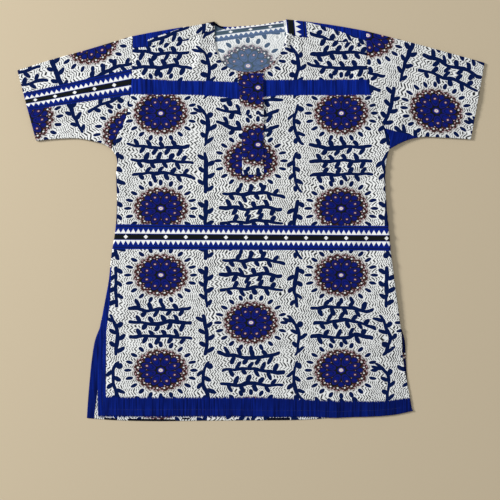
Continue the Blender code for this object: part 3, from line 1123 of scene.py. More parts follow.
@dataclass(frozen=True)
class Rosette:
    """A flower, wider than it is high: petals over lace in a ring of beads, with short rays round it."""

    stretch: float = 1.28
    petals: int = 8
    petal_out: float = 20.5
    petal_long: float = 11.5
    petal_wide: float = 6.0
    bud_out: float = 28.5
    bud_radius: float = 4.7
    beads: int = 20
    bead_out: float = 36.0
    bead_radius: float = 2.9
    lobe_radius: float = 6.0
    eye_out: float = 23.5
    eye_radius: float = 2.9
    ray_out: float = 51.5
    ray_long: float = 6.2
    ray_wide: float = 3.5
    halo: float = 6.5
    heart: float = 7.5
    lace_rings: float = 1.05  # radians of the lace's wave to a millimetre out
    lace_spokes: int = 26
    outline: float = 0.26  # share of a petal that its black outline adds
    # Lines in a petal: how far in from its edge, in shares of it, half the width and the ink
    veins: tuple[tuple[float, float, Colour], ...] = ((0.14, 0.035, INKS.plum), (0.36, 0.07, INKS.navy))
    # Rings of the heart: how far in from its edge each starts, and its ink
    rings: tuple[tuple[float, Colour], ...] = (
        (0.0, INKS.black), (1.4, INKS.petal), (3.9, INKS.pink), (5.2, INKS.white), (6.5, INKS.brown)
    )

    def group(self) -> NodeTree:
        """Make the shader group.

        Returns:
            A group that gives its colour and mask, the shade round it and the distance past its rays.
        """
        g = GroupGraph("rosette", ("Place",), ("Color", "Mask", "Halo", "Rays"))
        x, y = g.parts(g.given("Place"))
        x = x / self.stretch
        radius = g.vector_math("LENGTH", g.pair(x, y))
        turn = g.math("ARCTAN2", y, x) / TURN

        def spoke(count: int, shift: float) -> Field:
            """How far aside of the nearest of so many spokes a place is."""
            share = g.math("FRACT", turn * count + shift) - 0.5
            return share * radius * (TURN / count)

        def spot(aside: Field, out: float, long: float, wide: float) -> Field:
            """Distance, in shares, past the edge of an oval on a spoke."""
            oval = g.pair((radius - out) / long, aside / wide)
            return g.vector_math("LENGTH", oval) - 1.0

        petal_side = spoke(self.petals, 0.0)
        bud_side = spoke(self.petals, 0.5)
        bead_side = spoke(self.beads, 0.0)
        bead = spot(bead_side, self.bead_out, self.bead_radius, self.bead_radius)
        lobe = spot(bead_side, self.bead_out, self.lobe_radius, self.lobe_radius) * self.lobe_radius
        edge = g.math("MINIMUM", radius - self.bead_out, lobe)
        lace = g.math("SINE", radius * self.lace_rings) * g.math("SINE", turn * (TURN * self.lace_spokes))
        colour = g.mix(g.step(lace, 0.45, 0.7), INKS.brown, INKS.pink)
        petal = g.mix(g.step(g.noise(g.given("Place"), 0.16, 2.0), 0.5, 0.85), INKS.petal, INKS.plum)
        colour = g.mix(g.within(bead + 0.5, 0.4), g.mix(g.within(bead, 0.3), colour, INKS.black), INKS.white)
        for side, out, long, wide in (
            (bud_side, self.bud_out, self.bud_radius, self.bud_radius),
            (petal_side, self.petal_out, self.petal_long, self.petal_wide),
        ):
            leaf = spot(side, out, long, wide)
            colour = g.mix(g.within(leaf - self.outline, 0.06), colour, INKS.black)
            colour = g.mix(g.within(leaf, 0.06), colour, petal)
            for inset, half, ink in self.veins:
                colour = g.mix(g.within(abs(leaf + inset) - half, 0.05), colour, ink)
        eye = spot(petal_side, self.eye_out, self.eye_radius, self.eye_radius)
        colour = g.mix(g.within(eye, 0.15), colour, INKS.brown)
        colour = g.mix(g.within(eye + 0.5, 0.15), colour, INKS.pink)
        heart = radius - self.heart
        for inset, ink in self.rings:
            colour = g.mix(g.within(heart + inset), colour, ink)
        halo = g.step(edge, self.halo, 0.5)
        rays = spot(spoke(self.beads, 0.5), self.ray_out, self.ray_long, self.ray_wide) * self.ray_wide
        return g.give(Color=colour, Mask=g.within(edge - 0.4), Halo=halo, Rays=rays)


@dataclass(frozen=True)
class Sprig:
    """A leafy twig along X: a bent stem with leaves to either side in turn."""

    stem: float = 3.8  # half its thickness
    leaf_every: float = 12.5
    leaf_out: float = 8.2
    leaf_long: float = 8.6
    leaf_wide: float = 4.7
    leaf_lean: float = 0.95
    leaf_margin: float = 4.0
    far: float = 60.0

    def group(self) -> NodeTree:
        """Make the shader group.

        Returns:
            A group that gives the distance past its edge, for half its length and how it bends.
        """
        g = GroupGraph("leafy_sprig", ("Place", "Half", "Bend"), ("Distance",))
        x, y = g.parts(g.given("Place"))
        half = g.given("Half")
        share = x / half
        y = y + g.given("Bend") * (share * share - 0.4)
        beyond = g.math("MAXIMUM", abs(x) - half, 0.0)
        stem = g.vector_math("LENGTH", g.pair(beyond, y)) - self.stem
        rank = g.math("FLOOR", x / self.leaf_every)
        middle = (rank + 0.5) * self.leaf_every
        side = g.math("FLOORED_MODULO", rank, 2.0) * 2.0 - 1.0
        place = g.turned(g.pair(x - middle, y * side - self.leaf_out), -self.leaf_lean)
        oval = g.vector_math("DIVIDE", place, (self.leaf_long, self.leaf_wide, 1.0))
        leaf = (g.vector_math("LENGTH", oval) - 1.0) * self.leaf_wide
        missing = g.math("GREATER_THAN", abs(middle) + self.leaf_margin, half)
        return g.give(Distance=g.math("MINIMUM", stem, leaf + missing * self.far))


@dataclass(frozen=True)
class RiceGround:
    """The ground: pale, with short dark strokes end to end in upright zigzags."""

    pitch: float = 5.4  # from one zigzag to the next
    row: float = 5.5
    lean: float = 0.78
    half_wide: float = 1.12
    half_long: float = 2.5
    rounding: float = 0.7
    uneven: float = 0.7
    drift: float = 26.0

    def group(self) -> NodeTree:
        """Make the shader group.

        Returns:
            A group that gives the ground's colour on the cloth, for how strong its strokes are.
        """
        g = GroupGraph("rice_ground", ("Cloth", "Strength"), ("Color",))
        x, y = g.strayed(1 / 60, 1.0, self.drift)
        across = (x + g.math("PINGPONG", y, self.row) * self.lean) / self.pitch
        down = y / self.row
        column, rank = g.math("FLOOR", across), g.math("FLOOR", down)
        luck = g.chance(g.pair(column, rank)) - 0.5
        wide = luck * self.uneven + (self.half_wide - self.rounding)
        long = luck * self.uneven + (self.half_long - self.rounding)
        aside = g.math("MAXIMUM", abs(across - column - 0.5) * self.pitch - wide, 0.0)
        beyond = g.math("MAXIMUM", abs(down - rank - 0.5) * self.row - long, 0.0)
        stroke = g.vector_math("LENGTH", g.pair(aside, beyond)) - self.rounding
        return g.give(Color=g.mix(g.within(stroke, 0.5) * g.given("Strength"), INKS.white, INKS.gap))


@dataclass(frozen=True)
class Border:
    """A straight border: a black core between two rows of white teeth, on a blue band."""

    core: float = 0.2  # shares of half its width
    foot: float = 0.26
    tooth: float = 0.34
    tooth_every: float = 10.0
    diamond: float = 0.86
    diamond_every: float = 40.0
    diamond_slope: float = 5.0
    line: float = 0.84
    line_half: float = 0.03

    def group(self) -> NodeTree:
        """Make the shader group.

        Returns:
            A group that gives its colour and mask at a place along and across it, for half its width.
        """
        g = GroupGraph("toothed_border", ("Place", "Half"), ("Color", "Mask"))
        along, across = g.parts(g.given("Place"))
        half = g.given("Half")
        side = abs(across) / half
        rise = g.math("PINGPONG", along, self.tooth_every / 2) * (2 * self.tooth / self.tooth_every)
        tooth = g.math("MAXIMUM", self.foot - side, side - rise - (self.foot + 0.04))
        colour = g.mix(g.within(tooth, 0.02), INKS.royal, INKS.white)
        colour = g.mix(g.within(side - self.core, 0.02), colour, INKS.black)
        diamond = side / self.core + g.math("PINGPONG", along, self.diamond_every / 2) / self.diamond_slope
        colour = g.mix(g.within(diamond - self.diamond, 0.1), colour, INKS.white)
        line = abs(side - self.line) - self.line_half
        colour = g.mix(g.within(line, 0.02), colour, INKS.black)
        return g.give(Color=colour, Mask=g.within(abs(across) - half))


@dataclass(frozen=True)
class Repeat:
    """The half-drop repeat of rosettes and sprigs over the ground."""

    across: float = 180.0
    down: float = 190.0
    row_sprig: float = 28.0  # from one lying sprig to the next
    row_half: float = 60.0
    column_half: float = 38.0
    bend: float = 16.0
    tilt: float = 0.4
    row_tilt: float = 0.3  # of the same, for the sprigs that lie across
    slip: float = 14.0
    wobble: float = 2.2
    sway: float = 15.0
    margin: float = 1.2  # of white round each twig and ray
    shade: float = 0.55  # how dark the halo is

    def group(self, ground: NodeTree) -> NodeTree:
        """Make the shader group.

        Args:
            ground: the group that gives the ground's colour.

        Returns:
            A group that gives the print's colour on the cloth, for how strong the ground's strokes are.
        """
        rosette = Rosette().group()
        sprig = Sprig().group()
        g = GroupGraph("half_drop_print", ("Cloth", "Strength"), ("Color",))
        x, y = g.strayed(1 / 9, 2.0, self.wobble)
        sway = (g.noise(g.given("Cloth"), 1 / 44, 1.0) - 0.5) * self.sway
        half_down = self.down / 2

        def nearest(value: Field, every: float, shift: float = 0.0) -> Field:
            """The whole number of the nearest repeat."""
            return g.math("FLOOR", value / every + (0.5 + shift))

        column = nearest(x, self.across)
        fallen = y - g.math("FLOORED_MODULO", column, 2.0) * half_down
        local_x = x - column * self.across
        flower = g.use(rosette, Place=g.pair(local_x, fallen - nearest(fallen, self.down) * self.down))
        # Three sprigs lie across the space between one rosette and the next
        space = nearest(fallen, self.down, 0.5)
        space_y = fallen - (space - 0.5) * self.down + sway
        twigs = []
        for rank in (-1.0, 0.0, 1.0):
            luck = g.chance(g.pair(column, space * 3.0 + rank)) - 0.5
            along = (local_x - luck * self.slip) * g.math("SIGN", luck)
            lying = g.pair(along, space_y - rank * self.row_sprig)
            lying = g.turned(lying, luck * self.tilt * self.row_tilt)
            twigs.append(g.use(sprig, Place=lying, Half=self.row_half, Bend=luck * self.bend)["Distance"])
        # One stands between columns, beside each rosette and each space
        gutter = nearest(x, self.across, 0.5)
        gutter_x = x - (gutter - 0.5) * self.across
        rank = nearest(y, half_down, 0.25)
        luck = g.chance(g.pair(gutter + 31.0, rank)) - 0.5
        along = (y - (rank - 0.25) * half_down) * g.math("SIGN", luck)
        upright = g.turned(g.pair(along, gutter_x + sway), luck * self.tilt)
        upright = g.use(sprig, Place=upright, Half=self.column_half, Bend=luck * self.bend * 2.0)["Distance"]
        for twig in twigs:
            upright = g.math("MINIMUM", upright, twig)
        twig = g.math("MAXIMUM", upright, (flower["Halo"] - 0.02) * 40.0)
        twig = g.math("MINIMUM", twig, flower["Rays"])
        colour = g.use(ground, Cloth=g.given("Cloth"), Strength=g.given("Strength"))["Color"]
        colour = g.mix(g.within(twig - self.margin, 0.8), colour, INKS.white)
        colour = g.mix(g.within(twig), colour, INKS.navy)
        colour = g.mix(flower["Halo"] * self.shade, colour, INKS.halo)
        return g.give(Color=g.mix(flower["Mask"], colour, flower["Color"]))


@dataclass(frozen=True)
class PlainWeave:
    """Fine plain-woven cotton: threads over and under, some of them thicker."""

    thread: float = 0.46
    fine: float = 0.9  # breadth and length of the thick places in the threads
    long: float = 22.0
    streak: float = 3.4
    streak_long: float = 60.0
    contrast: float = 2.1
    # How much the threads, their thick places and the crumple of the cloth lift it
    lifts: tuple[float, float, float] = (0.03, 0.07, 0.35)

    def group(self) -> NodeTree:
        """Make the shader group.

        Returns:
            A group that gives the weave's height, and how its threads shade the print and streak the blue.
        """
        g = GroupGraph("plain_weave", ("Cloth",), ("Height", "Shade", "Streak"))
        x, y = g.parts(g.given("Cloth"))
        over = g.math("SINE", x * (math.pi / self.thread)) * g.math("SINE", y * (math.pi / self.thread))
        warp = g.noise(g.pair(x / self.fine, y / self.long), 1.0, 1.0)
        weft = g.noise(g.pair(x / self.long, y / self.fine), 1.0, 1.0)
        slub = warp + weft
        crumple = g.noise(g.given("Cloth"), 1 / 11, 3.0)
        height = over * self.lifts[0] + slub * self.lifts[1] + crumple * self.lifts[2]
        streak = g.noise(g.pair(x / self.streak, y / self.streak_long), 1.0, 1.0) - 0.5
        return g.give(Height=height, Shade=slub, Streak=streak * self.contrast + 1.0)


class Look(Enum):
    """How a stripe is filled: with the blue, with the toothed border or with bare ground."""

    PLAIN = "plain"
    TOOTHED = "toothed"
    BARE = "bare"


class Stripe(NamedTuple):
    """A stripe of the print between two points of the flat cut."""

    from_x: float
    from_y: float
    to_x: float
    to_y: float
    from_half: float
    to_half: float
    # share of the royal blue; at the back's right vent this share is very low, partly as painted shadow
    tone: float = 1.0
    fringe: float = 0.0  # how far fine points stand out from its edges
    look: Look = Look.PLAIN


COTTON_SURFACE = {"Specular IOR Level": 0.05, "Sheen Weight": 0.01, "Sheen Roughness": 0.5}


class PrintShop:
    """The shader groups that the finishes share, each built once."""

    def __init__(self) -> None:
        """Build the groups."""
        self.ground = RiceGround().group()
        self.repeat = Repeat().group(self.ground)
        self.border = Border().group()
        self.weave = PlainWeave().group()


@dataclass(frozen=True)
class PrintedCotton:
    """One piece's printed cotton: where the repeat falls on it, and the stripes over that."""

    name: str
    shift: tuple[float, float] = (0.0, 0.0)
    angle: float = 0.0  # degrees
    stripes: tuple[Stripe, ...] = ()
    # Heights above which the repeat is moved, and how far up, so that its flowers miss the stripes
    zones: tuple[tuple[float, float], ...] = ()
    dye: float = 0.22  # how much thick and thin threads vary the colour
    patchiness: float = 0.1
    point: float = 3.2  # from one point of a fringe to the next
    shown_through: float = 0.45  # how strong the ground's strokes are on the wrong side
    veil: Colour = (0.058, 0.094, 0.125)
    pale: Colour = (0.15, 0.222, 0.3)

    def material(self, shop: PrintShop, face: Face) -> Material:
        """Make the material of one face of the cloth.

        Args:
            shop: the shared shader groups.
            face: the right side, or the wrong side, which is paler.

        Returns:
            The material.
        """
        g = Finish(f"{self.name}_{face.value}")
        cloth = g.place()
        strength = 1.0 if face is Face.RIGHT else self.shown_through
        colour = g.use(shop.repeat, Cloth=self.placed(g, cloth), Strength=strength)["Color"]
        weave = g.use(shop.weave, Cloth=cloth)
        for stripe in self.stripes:
            colour = self.striped(g, shop, cloth, weave["Streak"], colour, stripe)
        patch = g.noise(cloth, 1 / 95, 2.0) - 0.5
        tone = (weave["Shade"] - 1.0) * self.dye + patch * self.patchiness + 1.0
        colour = g.scaled(colour, tone)
        if face is Face.WRONG:
            blue = g.vector_math("DOT_PRODUCT", colour, (-2.6, 0.0, 2.6))
            colour = g.mix(blue, g.mix(1.0, colour, self.veil, blend="SCREEN"), self.pale)
        g.shade({"Base Color": colour, "Roughness": weave["Shade"] * 0.1 + 0.78, **COTTON_SURFACE})
        g.bump(weave["Height"], MM, 0.8)
        return g.material

    def placed(self, g: Graph, cloth: Field) -> Field:
        """Find where a place on the cloth is in the repeat.

        Args:
            g: the material's graph.
            cloth: the place on the cloth.

        Returns:
            The place in the repeat.
        """
        place = g.vector_math("SUBTRACT", cloth, (*self.shift, 0.0))
        if self.angle:
            place = g.turned(place, math.radians(-self.angle))
        if not self.zones:
            return place
        x, y = g.parts(place)
        _, height = g.parts(cloth)
        for above, up in self.zones:
            y = y - g.math("GREATER_THAN", height, above) * up
        return g.pair(x, y)

    def striped(
        self, g: Graph, shop: PrintShop, cloth: Field, streak: Field, colour: Field, stripe: Stripe
    ) -> Field:
        """Lay one stripe over the colour so far.

        Args:
            g: the material's graph.
            shop: the shared shader groups.
            cloth: the place on the cloth.
            streak: how the threads streak a plain stripe.
            colour: the colour so far.
            stripe: the stripe.

        Returns:
            The colour with the stripe on it.
        """
        run = (stripe.to_x - stripe.from_x, stripe.to_y - stripe.from_y)
        length = math.hypot(*run)
        place = g.vector_math("SUBTRACT", cloth, (stripe.from_x, stripe.from_y, 0.0))
        along, across = g.parts(g.turned(place, -math.atan2(run[1], run[0])))
        half = along * ((stripe.to_half - stripe.from_half) / length) + stripe.from_half
        if stripe.fringe:
            half = half + g.math("PINGPONG", along, self.point / 2) * (2 * stripe.fringe / self.point)
        ends = g.within(abs(along - length / 2) - length / 2)
        if stripe.look is Look.TOOTHED:
            laid = g.use(shop.border, Place=g.pair(along, across), Half=half)
            return g.mix(laid["Mask"] * ends, colour, laid["Color"])
        if stripe.look is Look.BARE:
            dyed = g.use(shop.ground, Cloth=cloth, Strength=1.0)["Color"]
        else:
            dyed = g.scaled(tuple(part * stripe.tone for part in INKS.royal), streak)
        return g.mix(g.within(abs(across) - half, 0.8) * ends, colour, dyed)


# Across the chest, along the hem and the left edge, and the border across the waist; the hem's blue is
# darker than the chest's, and darker towards the right
FRONT_STRIPES = table(
    Stripe,
    (-330, 269, -148, 264, 17.5, 13, 1, 2), (-152, 264.2, -88, 263.2, 13, 13.8, 1, 2),
    (-91, 263.3, -18, 257.8, 13.8, 16, 1, 2), (18, 262.6, 62, 264.2, 16.8, 14.5, 1, 2),
    (60, 264.2, 330, 264.8, 14.5, 15, 1, 2), (-330, -387.6, -232, -388.6, 33.6, 32.4, 0.72, 4.4),
    (-234, -388.6, 46, -388.6, 32.4, 32.4, 0.72, 4.4), (44, -388.4, 165, -395.2, 32, 32, 0.66, 4),
    (160, -395.4, 262, -395.6, 32, 32, 0.6, 4), (258, -396.2, 330, -387, 32, 32, 0.56, 3),
    (-282.3, -94, -288.4, -162, 3.9, 7.2, 0.8), (-288.4, -161, -300, -217, 7.2, 12.2, 0.8),
    (-299.4, -216, -301.2, -412, 10.9, 10.9, 0.8), (-330, -33, 330, -37, 25, 25, 1, 0, Look.TOOTHED),
)
FRONT_PRINT = PrintedCotton(
    "front_cotton", shift=(0.0, -205.0), stripes=FRONT_STRIPES, zones=((-35.0, 133.0), (265.0, 25.0))
)
# Across the body, along the hem, the vents and the neck, and over the shoulders
BACK_STRIPES = table(
    Stripe,
    (-330, 265, 330, 265, 15, 15), (-304, -366, 340, -366, 25.6, 25.6, 0.72, 4.4),
    (-293, -397, -268, -399, 2, 2.2, 0.06), (-246, -400.4, -150, -401.6, 3.6, 3.2, 0.06),
    (-136, -397, -122, -397, 1.6, 1.6, 0.06), (32, -398.6, 78, -398, 3.4, 3, 0.06),
    (-330, -34, 330, -34, 25, 25, 1, 0, Look.TOOTHED),
    (-305, -334, -307, -392, 9, 9, 1, 0, Look.BARE), (-295, -204, -310, -284, 11.5, 9, 0.72),
    (-311.6, -280, -316.6, -339, 11.6, 10.8, 0.72), (-318.4, -338, -326.4, -402, 12, 12, 0.66),
    # the back's right vent, peeking past the front: the print's blue darkened to 0.2, partly painted shadow
    # of the front's edge
    (309, -204, 311.2, -265, 10, 10, 0.2), (311.6, -277, 313, -324, 10, 10, 0.2),
    (-120, 366, 66, 390, 17, 14, 1, 0, Look.TOOTHED),
    (77.2, 394, 84, 452, 32, 32, 1, 0, Look.TOOTHED), (-80, 402, -56, 386, 8, 3, 0.05),
    (-75.5, 386, -52, 382.5, 12, 0.5, 0.05), (-250, 374, -138, 374, 14, 14),
    (-250, 392, -207, 392, 14, 14), (100, 385, 245, 385, 14, 14),
)
BACK_PRINT = PrintedCotton(
    "back_cotton", shift=(-6.0, 308.0), stripes=BACK_STRIPES, zones=((376.0, 113.0),)
)
SLEEVE_PRINTS = {
    Hand.LEFT: PrintedCotton(
        "left_sleeve_cotton",
        shift=(-60.0, -178.0),
        angle=6.0,
        stripes=table(Stripe, (-262, -63, 14, -91, 17, 27, 1, 0, Look.TOOTHED)),
    ),
    Hand.RIGHT: PrintedCotton(
        "right_sleeve_cotton",
        shift=(176.0, -118.0),
        angle=-5.0,
        stripes=table(Stripe, (70, -206, 160, -186, 29, 8, 0.7)),
    ),
}
PLACKET_PRINT = PrintedCotton("placket_cotton", shift=(14.0, 150.0), zones=((210.0, -76.0),), dye=0.2)


@dataclass(frozen=True)
class Thread:
    """Sewing thread, two strands twisted."""

    colour: Colour = (0.003, 0.008, 0.07)
    # colour of the strands' crests: a painted highlight, while the grooves between them keep the darker
    # colour as painted shade
    light: Colour = (0.012, 0.022, 0.14)
    twist: float = 0.55
    groove: float = 0.05

    def material(self) -> Material:
        """Make the thread's material.

        Returns:
            The material, whose strands wind round it.
        """
        g = Finish("thread")
        along, around = g.parts(g.place())
        strand = g.math("SINE", along * (TURN / self.twist) + around * 2.0) * 0.5 + 0.5
        # painted highlight and shade: the colour follows the strands' bump height, lighter on each crest and
        # darker in the grooves between
        g.shade({"Base Color": g.mix(strand, self.colour, self.light), "Roughness": strand * 0.15 + 0.45})
        g.bump(strand, self.groove * MM)
        return g.material


# === The pieces ===

# How far from a panel's edge it has lines of points, close together where a turning ends
EDGE_RINGS = (0.5, 1.3, 2.4, 4.0, 5.2, 6.8, 8.4, 9.4, 11.6, 12.6, 18.4, 19.4)


def enlist(piece: Piece, slot: SlotName) -> None:
    """Let a piece ride with the shirt."""
    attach(piece, BODY)


def finished(
    sheet: Sheet, node: str, print_: PrintedCotton, shop: PrintShop, slot: SlotName = SlotName.PRINT,
) -> Piece:
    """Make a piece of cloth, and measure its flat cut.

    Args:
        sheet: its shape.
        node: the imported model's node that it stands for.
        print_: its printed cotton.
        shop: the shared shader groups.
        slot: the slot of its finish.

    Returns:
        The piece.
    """
    piece = sheet.dressed(f"{node}_cloth", [print_.material(shop, face) for face in Face])
    enlist(piece, slot)
    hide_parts(node)
    width, length = (float(size) * MM for size in np.ptp(sheet.cloth, axis=0))
    area = sheet.flat_area() * MM * MM
    return piece


def shaped(points: Array, edges: Iterable[tuple[Path, Edge]]) -> tuple[Array, Array]:
    """Work out what a panel's edges do to the cloth near them.

    Args:
        points: rows of X and Y.
        edges: each edge's line and finish.

    Returns:
        The height that they add at each place, and the thickness that they add underneath.
    """
    relief = np.zeros(len(points))
    under = np.zeros(len(points))
    for path, edge in edges:
        distance, along = path.measure(points)
        relief += edge.relief(distance, along)
        under = np.maximum(under, edge.under(distance))
    return relief, under


@dataclass
class FrontPanel:
    """The front, which lies on the back: a U neck, straight hem and vents."""

    cut: Cut
    shop: PrintShop
    pitch: float = 4.0
    neck_settle: float = 1.1  # how far the neck's edge lies lower than the cloth round it
    neck_reach: float = 17.0
    neck_wave: float = 21.0
    pressed_folds: float = 0.3  # share of its height that a fold keeps at a pressed edge

    def __post_init__(self) -> None:
        """Measure the panel's edges."""
        cut = self.cut
        self.neck = Path(cut.neck())
        self.tops = {hand: cut.shoulder(hand, "seam", SEAM_GAP) for hand in Hand}
        self.holes = {hand: cut.armhole(hand, float(self.tops[hand][0, 1])) for hand in Hand}
        self.edges = (
            (Path(cut.hem(Panel.FRONT)), HEM),
            (self.neck, NECK_EDGE),
            *((Path(cut.vent(hand, Panel.FRONT)), VENT_EDGE) for hand in Hand),
            *((Path(cut.seam(hand)), SIDE_SEAM) for hand in Hand),
            *((Path(hole), ARM_SEAM) for hole in self.holes.values()),
            *((Path(top), SHOULDER_SEAM) for top in self.tops.values()),
        )

    def lie(self, points: Array) -> tuple[Array, Array]:
        """Work out how the panel lies.

        Args:
            points: rows of X and Y.

        Returns:
            The height of the middle of the cloth, and the thickness that its edges add underneath.
        """
        x, y = points[:, 0], points[:, 1]
        sides = [self.cut.side_x(y, hand, Panel.FRONT) for hand in Hand]
        risen = ease(np.minimum(x - sides[0], sides[1] - x) / PRESSED_MARGIN)
        risen = np.maximum(risen, ease((y - SIDES[0].y) / PRESSED_MARGIN + 1.0))
        risen = risen * ease((y - read(HEMS, "front", x)) / PRESSED_MARGIN)
        relief, under = shaped(points, self.edges)
        folds = creased(points, FRONT_CREASES) + swelling(points)
        distance, along = self.neck.measure(points)
        settle = (0.8 + 0.2 * np.sin(along / self.neck_wave)) * bell(distance / self.neck_reach)
        height = PRESSED + (UPPER - PRESSED) * risen
        height = height + folds * (self.pressed_folds + (1 - self.pressed_folds) * risen)
        height = height + creased(points, SIDE_PUCKERS) + relief - self.neck_settle * settle
        return height + standing(points), under

    def build(self) -> Piece:
        """Make the front.

        Returns:
            The piece.
        """
        top = (self.tops[Hand.RIGHT][:-1], self.cut.neck()[::-1], self.tops[Hand.LEFT][-2::-1])
        flat, faces = fill(self.cut.outline(Panel.FRONT, self.holes, top), self.pitch, EDGE_RINGS)
        height, under = self.lie(flat)
        sheet = Sheet(np.column_stack((flat, height)), faces, flat, HALF_CLOTH + under, under > 0)
        return finished(sheet, "front_panel", FRONT_PRINT, self.shop)


@dataclass
class BackPanel:
    """The back, flat on the surface, whose shoulder allowance folds over onto the front."""

    cut: Cut
    shop: PrintShop
    pitch: float = 6.2
    arc_steps: int = 8
    flap_steps: int = 9
    near_seam: tuple[float, ...] = (3.4, 2.3, 1.4, 0.7, 0.2, 0.0)
    fold_reach: float = 20.0  # how far in from its folds the lower layer lies flat
    fold_rows: float = 3.0  # over which the flap rises to the front's folds
    lower_relief: float = 0.4  # share of an edge's relief that shows on the lower layer

    def __post_init__(self) -> None:
        """Measure the edges of the lower layer, and of the flaps on the front."""
        cut = self.cut
        self.folds = {hand: cut.shoulder(hand, "fold") for hand in Hand}
        self.seams = {hand: self.matched(cut.shoulder(hand, "seam"), self.folds[hand]) for hand in Hand}
        self.ends = {hand: np.array((self.folds[hand][-1], self.seams[hand][-1])) for hand in Hand}
        self.lower_edges = (
            (Path(cut.hem(Panel.BACK)), BACK_EDGE),
            (Path(cut.back_neck()), NECK_EDGE),
            *((Path(cut.vent(hand, Panel.BACK)), BACK_EDGE) for hand in Hand),
        )
        self.flap_edges = (
            *((Path(end), NECK_EDGE) for end in self.ends.values()),
            *((Path(seam), SHOULDER_SEAM) for seam in self.seams.values()),
            *((Path(cut.armhole(hand, float(self.folds[hand][0, 1]))), ARM_SEAM) for hand in Hand),
        )

    @staticmethod
    def matched(points: Array, fellow: Array) -> Array:
        """A line's points spread as another line's are."""
        line = Path(points)
        return line.at(np.linspace(0.0, line.length, len(fellow)))

    def flap_row(self, fold: Array, seam: Array) -> tuple[Array, Array]:
        """One row of a flap, from the foot of the fold, round it and along the front to the seam.

        Args:
            fold: where the row crosses the fold's outer edge.
            seam: where it ends.

        Returns:
            The row's points, and where they are on the flat cut.
        """
        run = seam - fold
        length = float(np.linalg.norm(run))
        inward = run / length
        foot = np.round(fold + inward * FOLD_RADIUS, 2)
        angles = np.linspace(0.0, math.pi, self.arc_steps + 1)
        rest = length - FOLD_RADIUS
        open_run = np.linspace(0.0, rest - self.near_seam[0], self.flap_steps)[1:-1]
        ahead = np.concatenate((open_run, rest - np.array(self.near_seam)))
        out = np.concatenate((-np.sin(angles) * FOLD_RADIUS, ahead))
        height = np.concatenate((bent(angles), np.full(len(ahead), UPPER)))
        used = np.concatenate((angles * FOLD_RADIUS, math.pi * FOLD_RADIUS + ahead))
        return np.column_stack((foot + np.outer(out, inward), height)), foot - np.outer(used, inward)

    def flap(self, hand: Hand) -> Sheet:
        """Make the allowance over one shoulder.

        Args:
            hand: which shoulder.

        Returns:
            Its sheet.
        """
        rows = [self.flap_row(fold, seam) for fold, seam in zip(self.folds[hand], self.seams[hand])]
        length = len(rows[0][0])
        points, cloth = (np.vstack(part) for part in zip(*rows))
        relief, under = shaped(points, self.flap_edges)
        past_fold = np.tile(np.arange(length) - self.arc_steps, len(rows)) / self.fold_rows
        lift = creased(points, FRONT_CREASES) + swelling(points) + relief
        points[:, 2] += lift * ease(past_fold)
        faces = grid_faces(len(rows), length, flipped=hand is Hand.RIGHT)
        return Sheet(points, faces, cloth, HALF_CLOTH + under, under > 0)

    def build(self) -> Piece:
        """Make the back: the lower layer joined to both flaps.

        Returns:
            The piece.
        """
        flaps = {hand: self.flap(hand) for hand in Hand}
        row = len(flaps[Hand.LEFT].points) // len(self.folds[Hand.LEFT])
        feet = {hand: flaps[hand].points[::row, :2] for hand in Hand}
        holes = {hand: self.cut.armhole(hand, float(feet[hand][0, 1])) for hand in Hand}
        top = (feet[Hand.RIGHT], self.cut.back_neck(), feet[Hand.LEFT][::-1])
        flat, faces = fill(self.cut.outline(Panel.BACK, holes, top), self.pitch, EDGE_RINGS[2:])
        at_fold = np.minimum(*(Path(feet[hand]).measure(flat)[0] for hand in Hand))
        away = ease(at_fold / self.fold_reach)
        relief, under = shaped(flat, self.lower_edges)
        lift = np.maximum(creased(flat, BACK_CREASES) + relief * self.lower_relief, 0.0)
        down = [face[::-1] for face in faces]
        points = np.column_stack((flat, LOWER + (lift + standing(flat)) * away))
        sheet = Sheet(points, down, flat, HALF_CLOTH + under * away, under > 0)
        for flap in flaps.values():
            sheet = sheet.joined(flap)
        return finished(sheet, "back_panel", BACK_PRINT, self.shop)


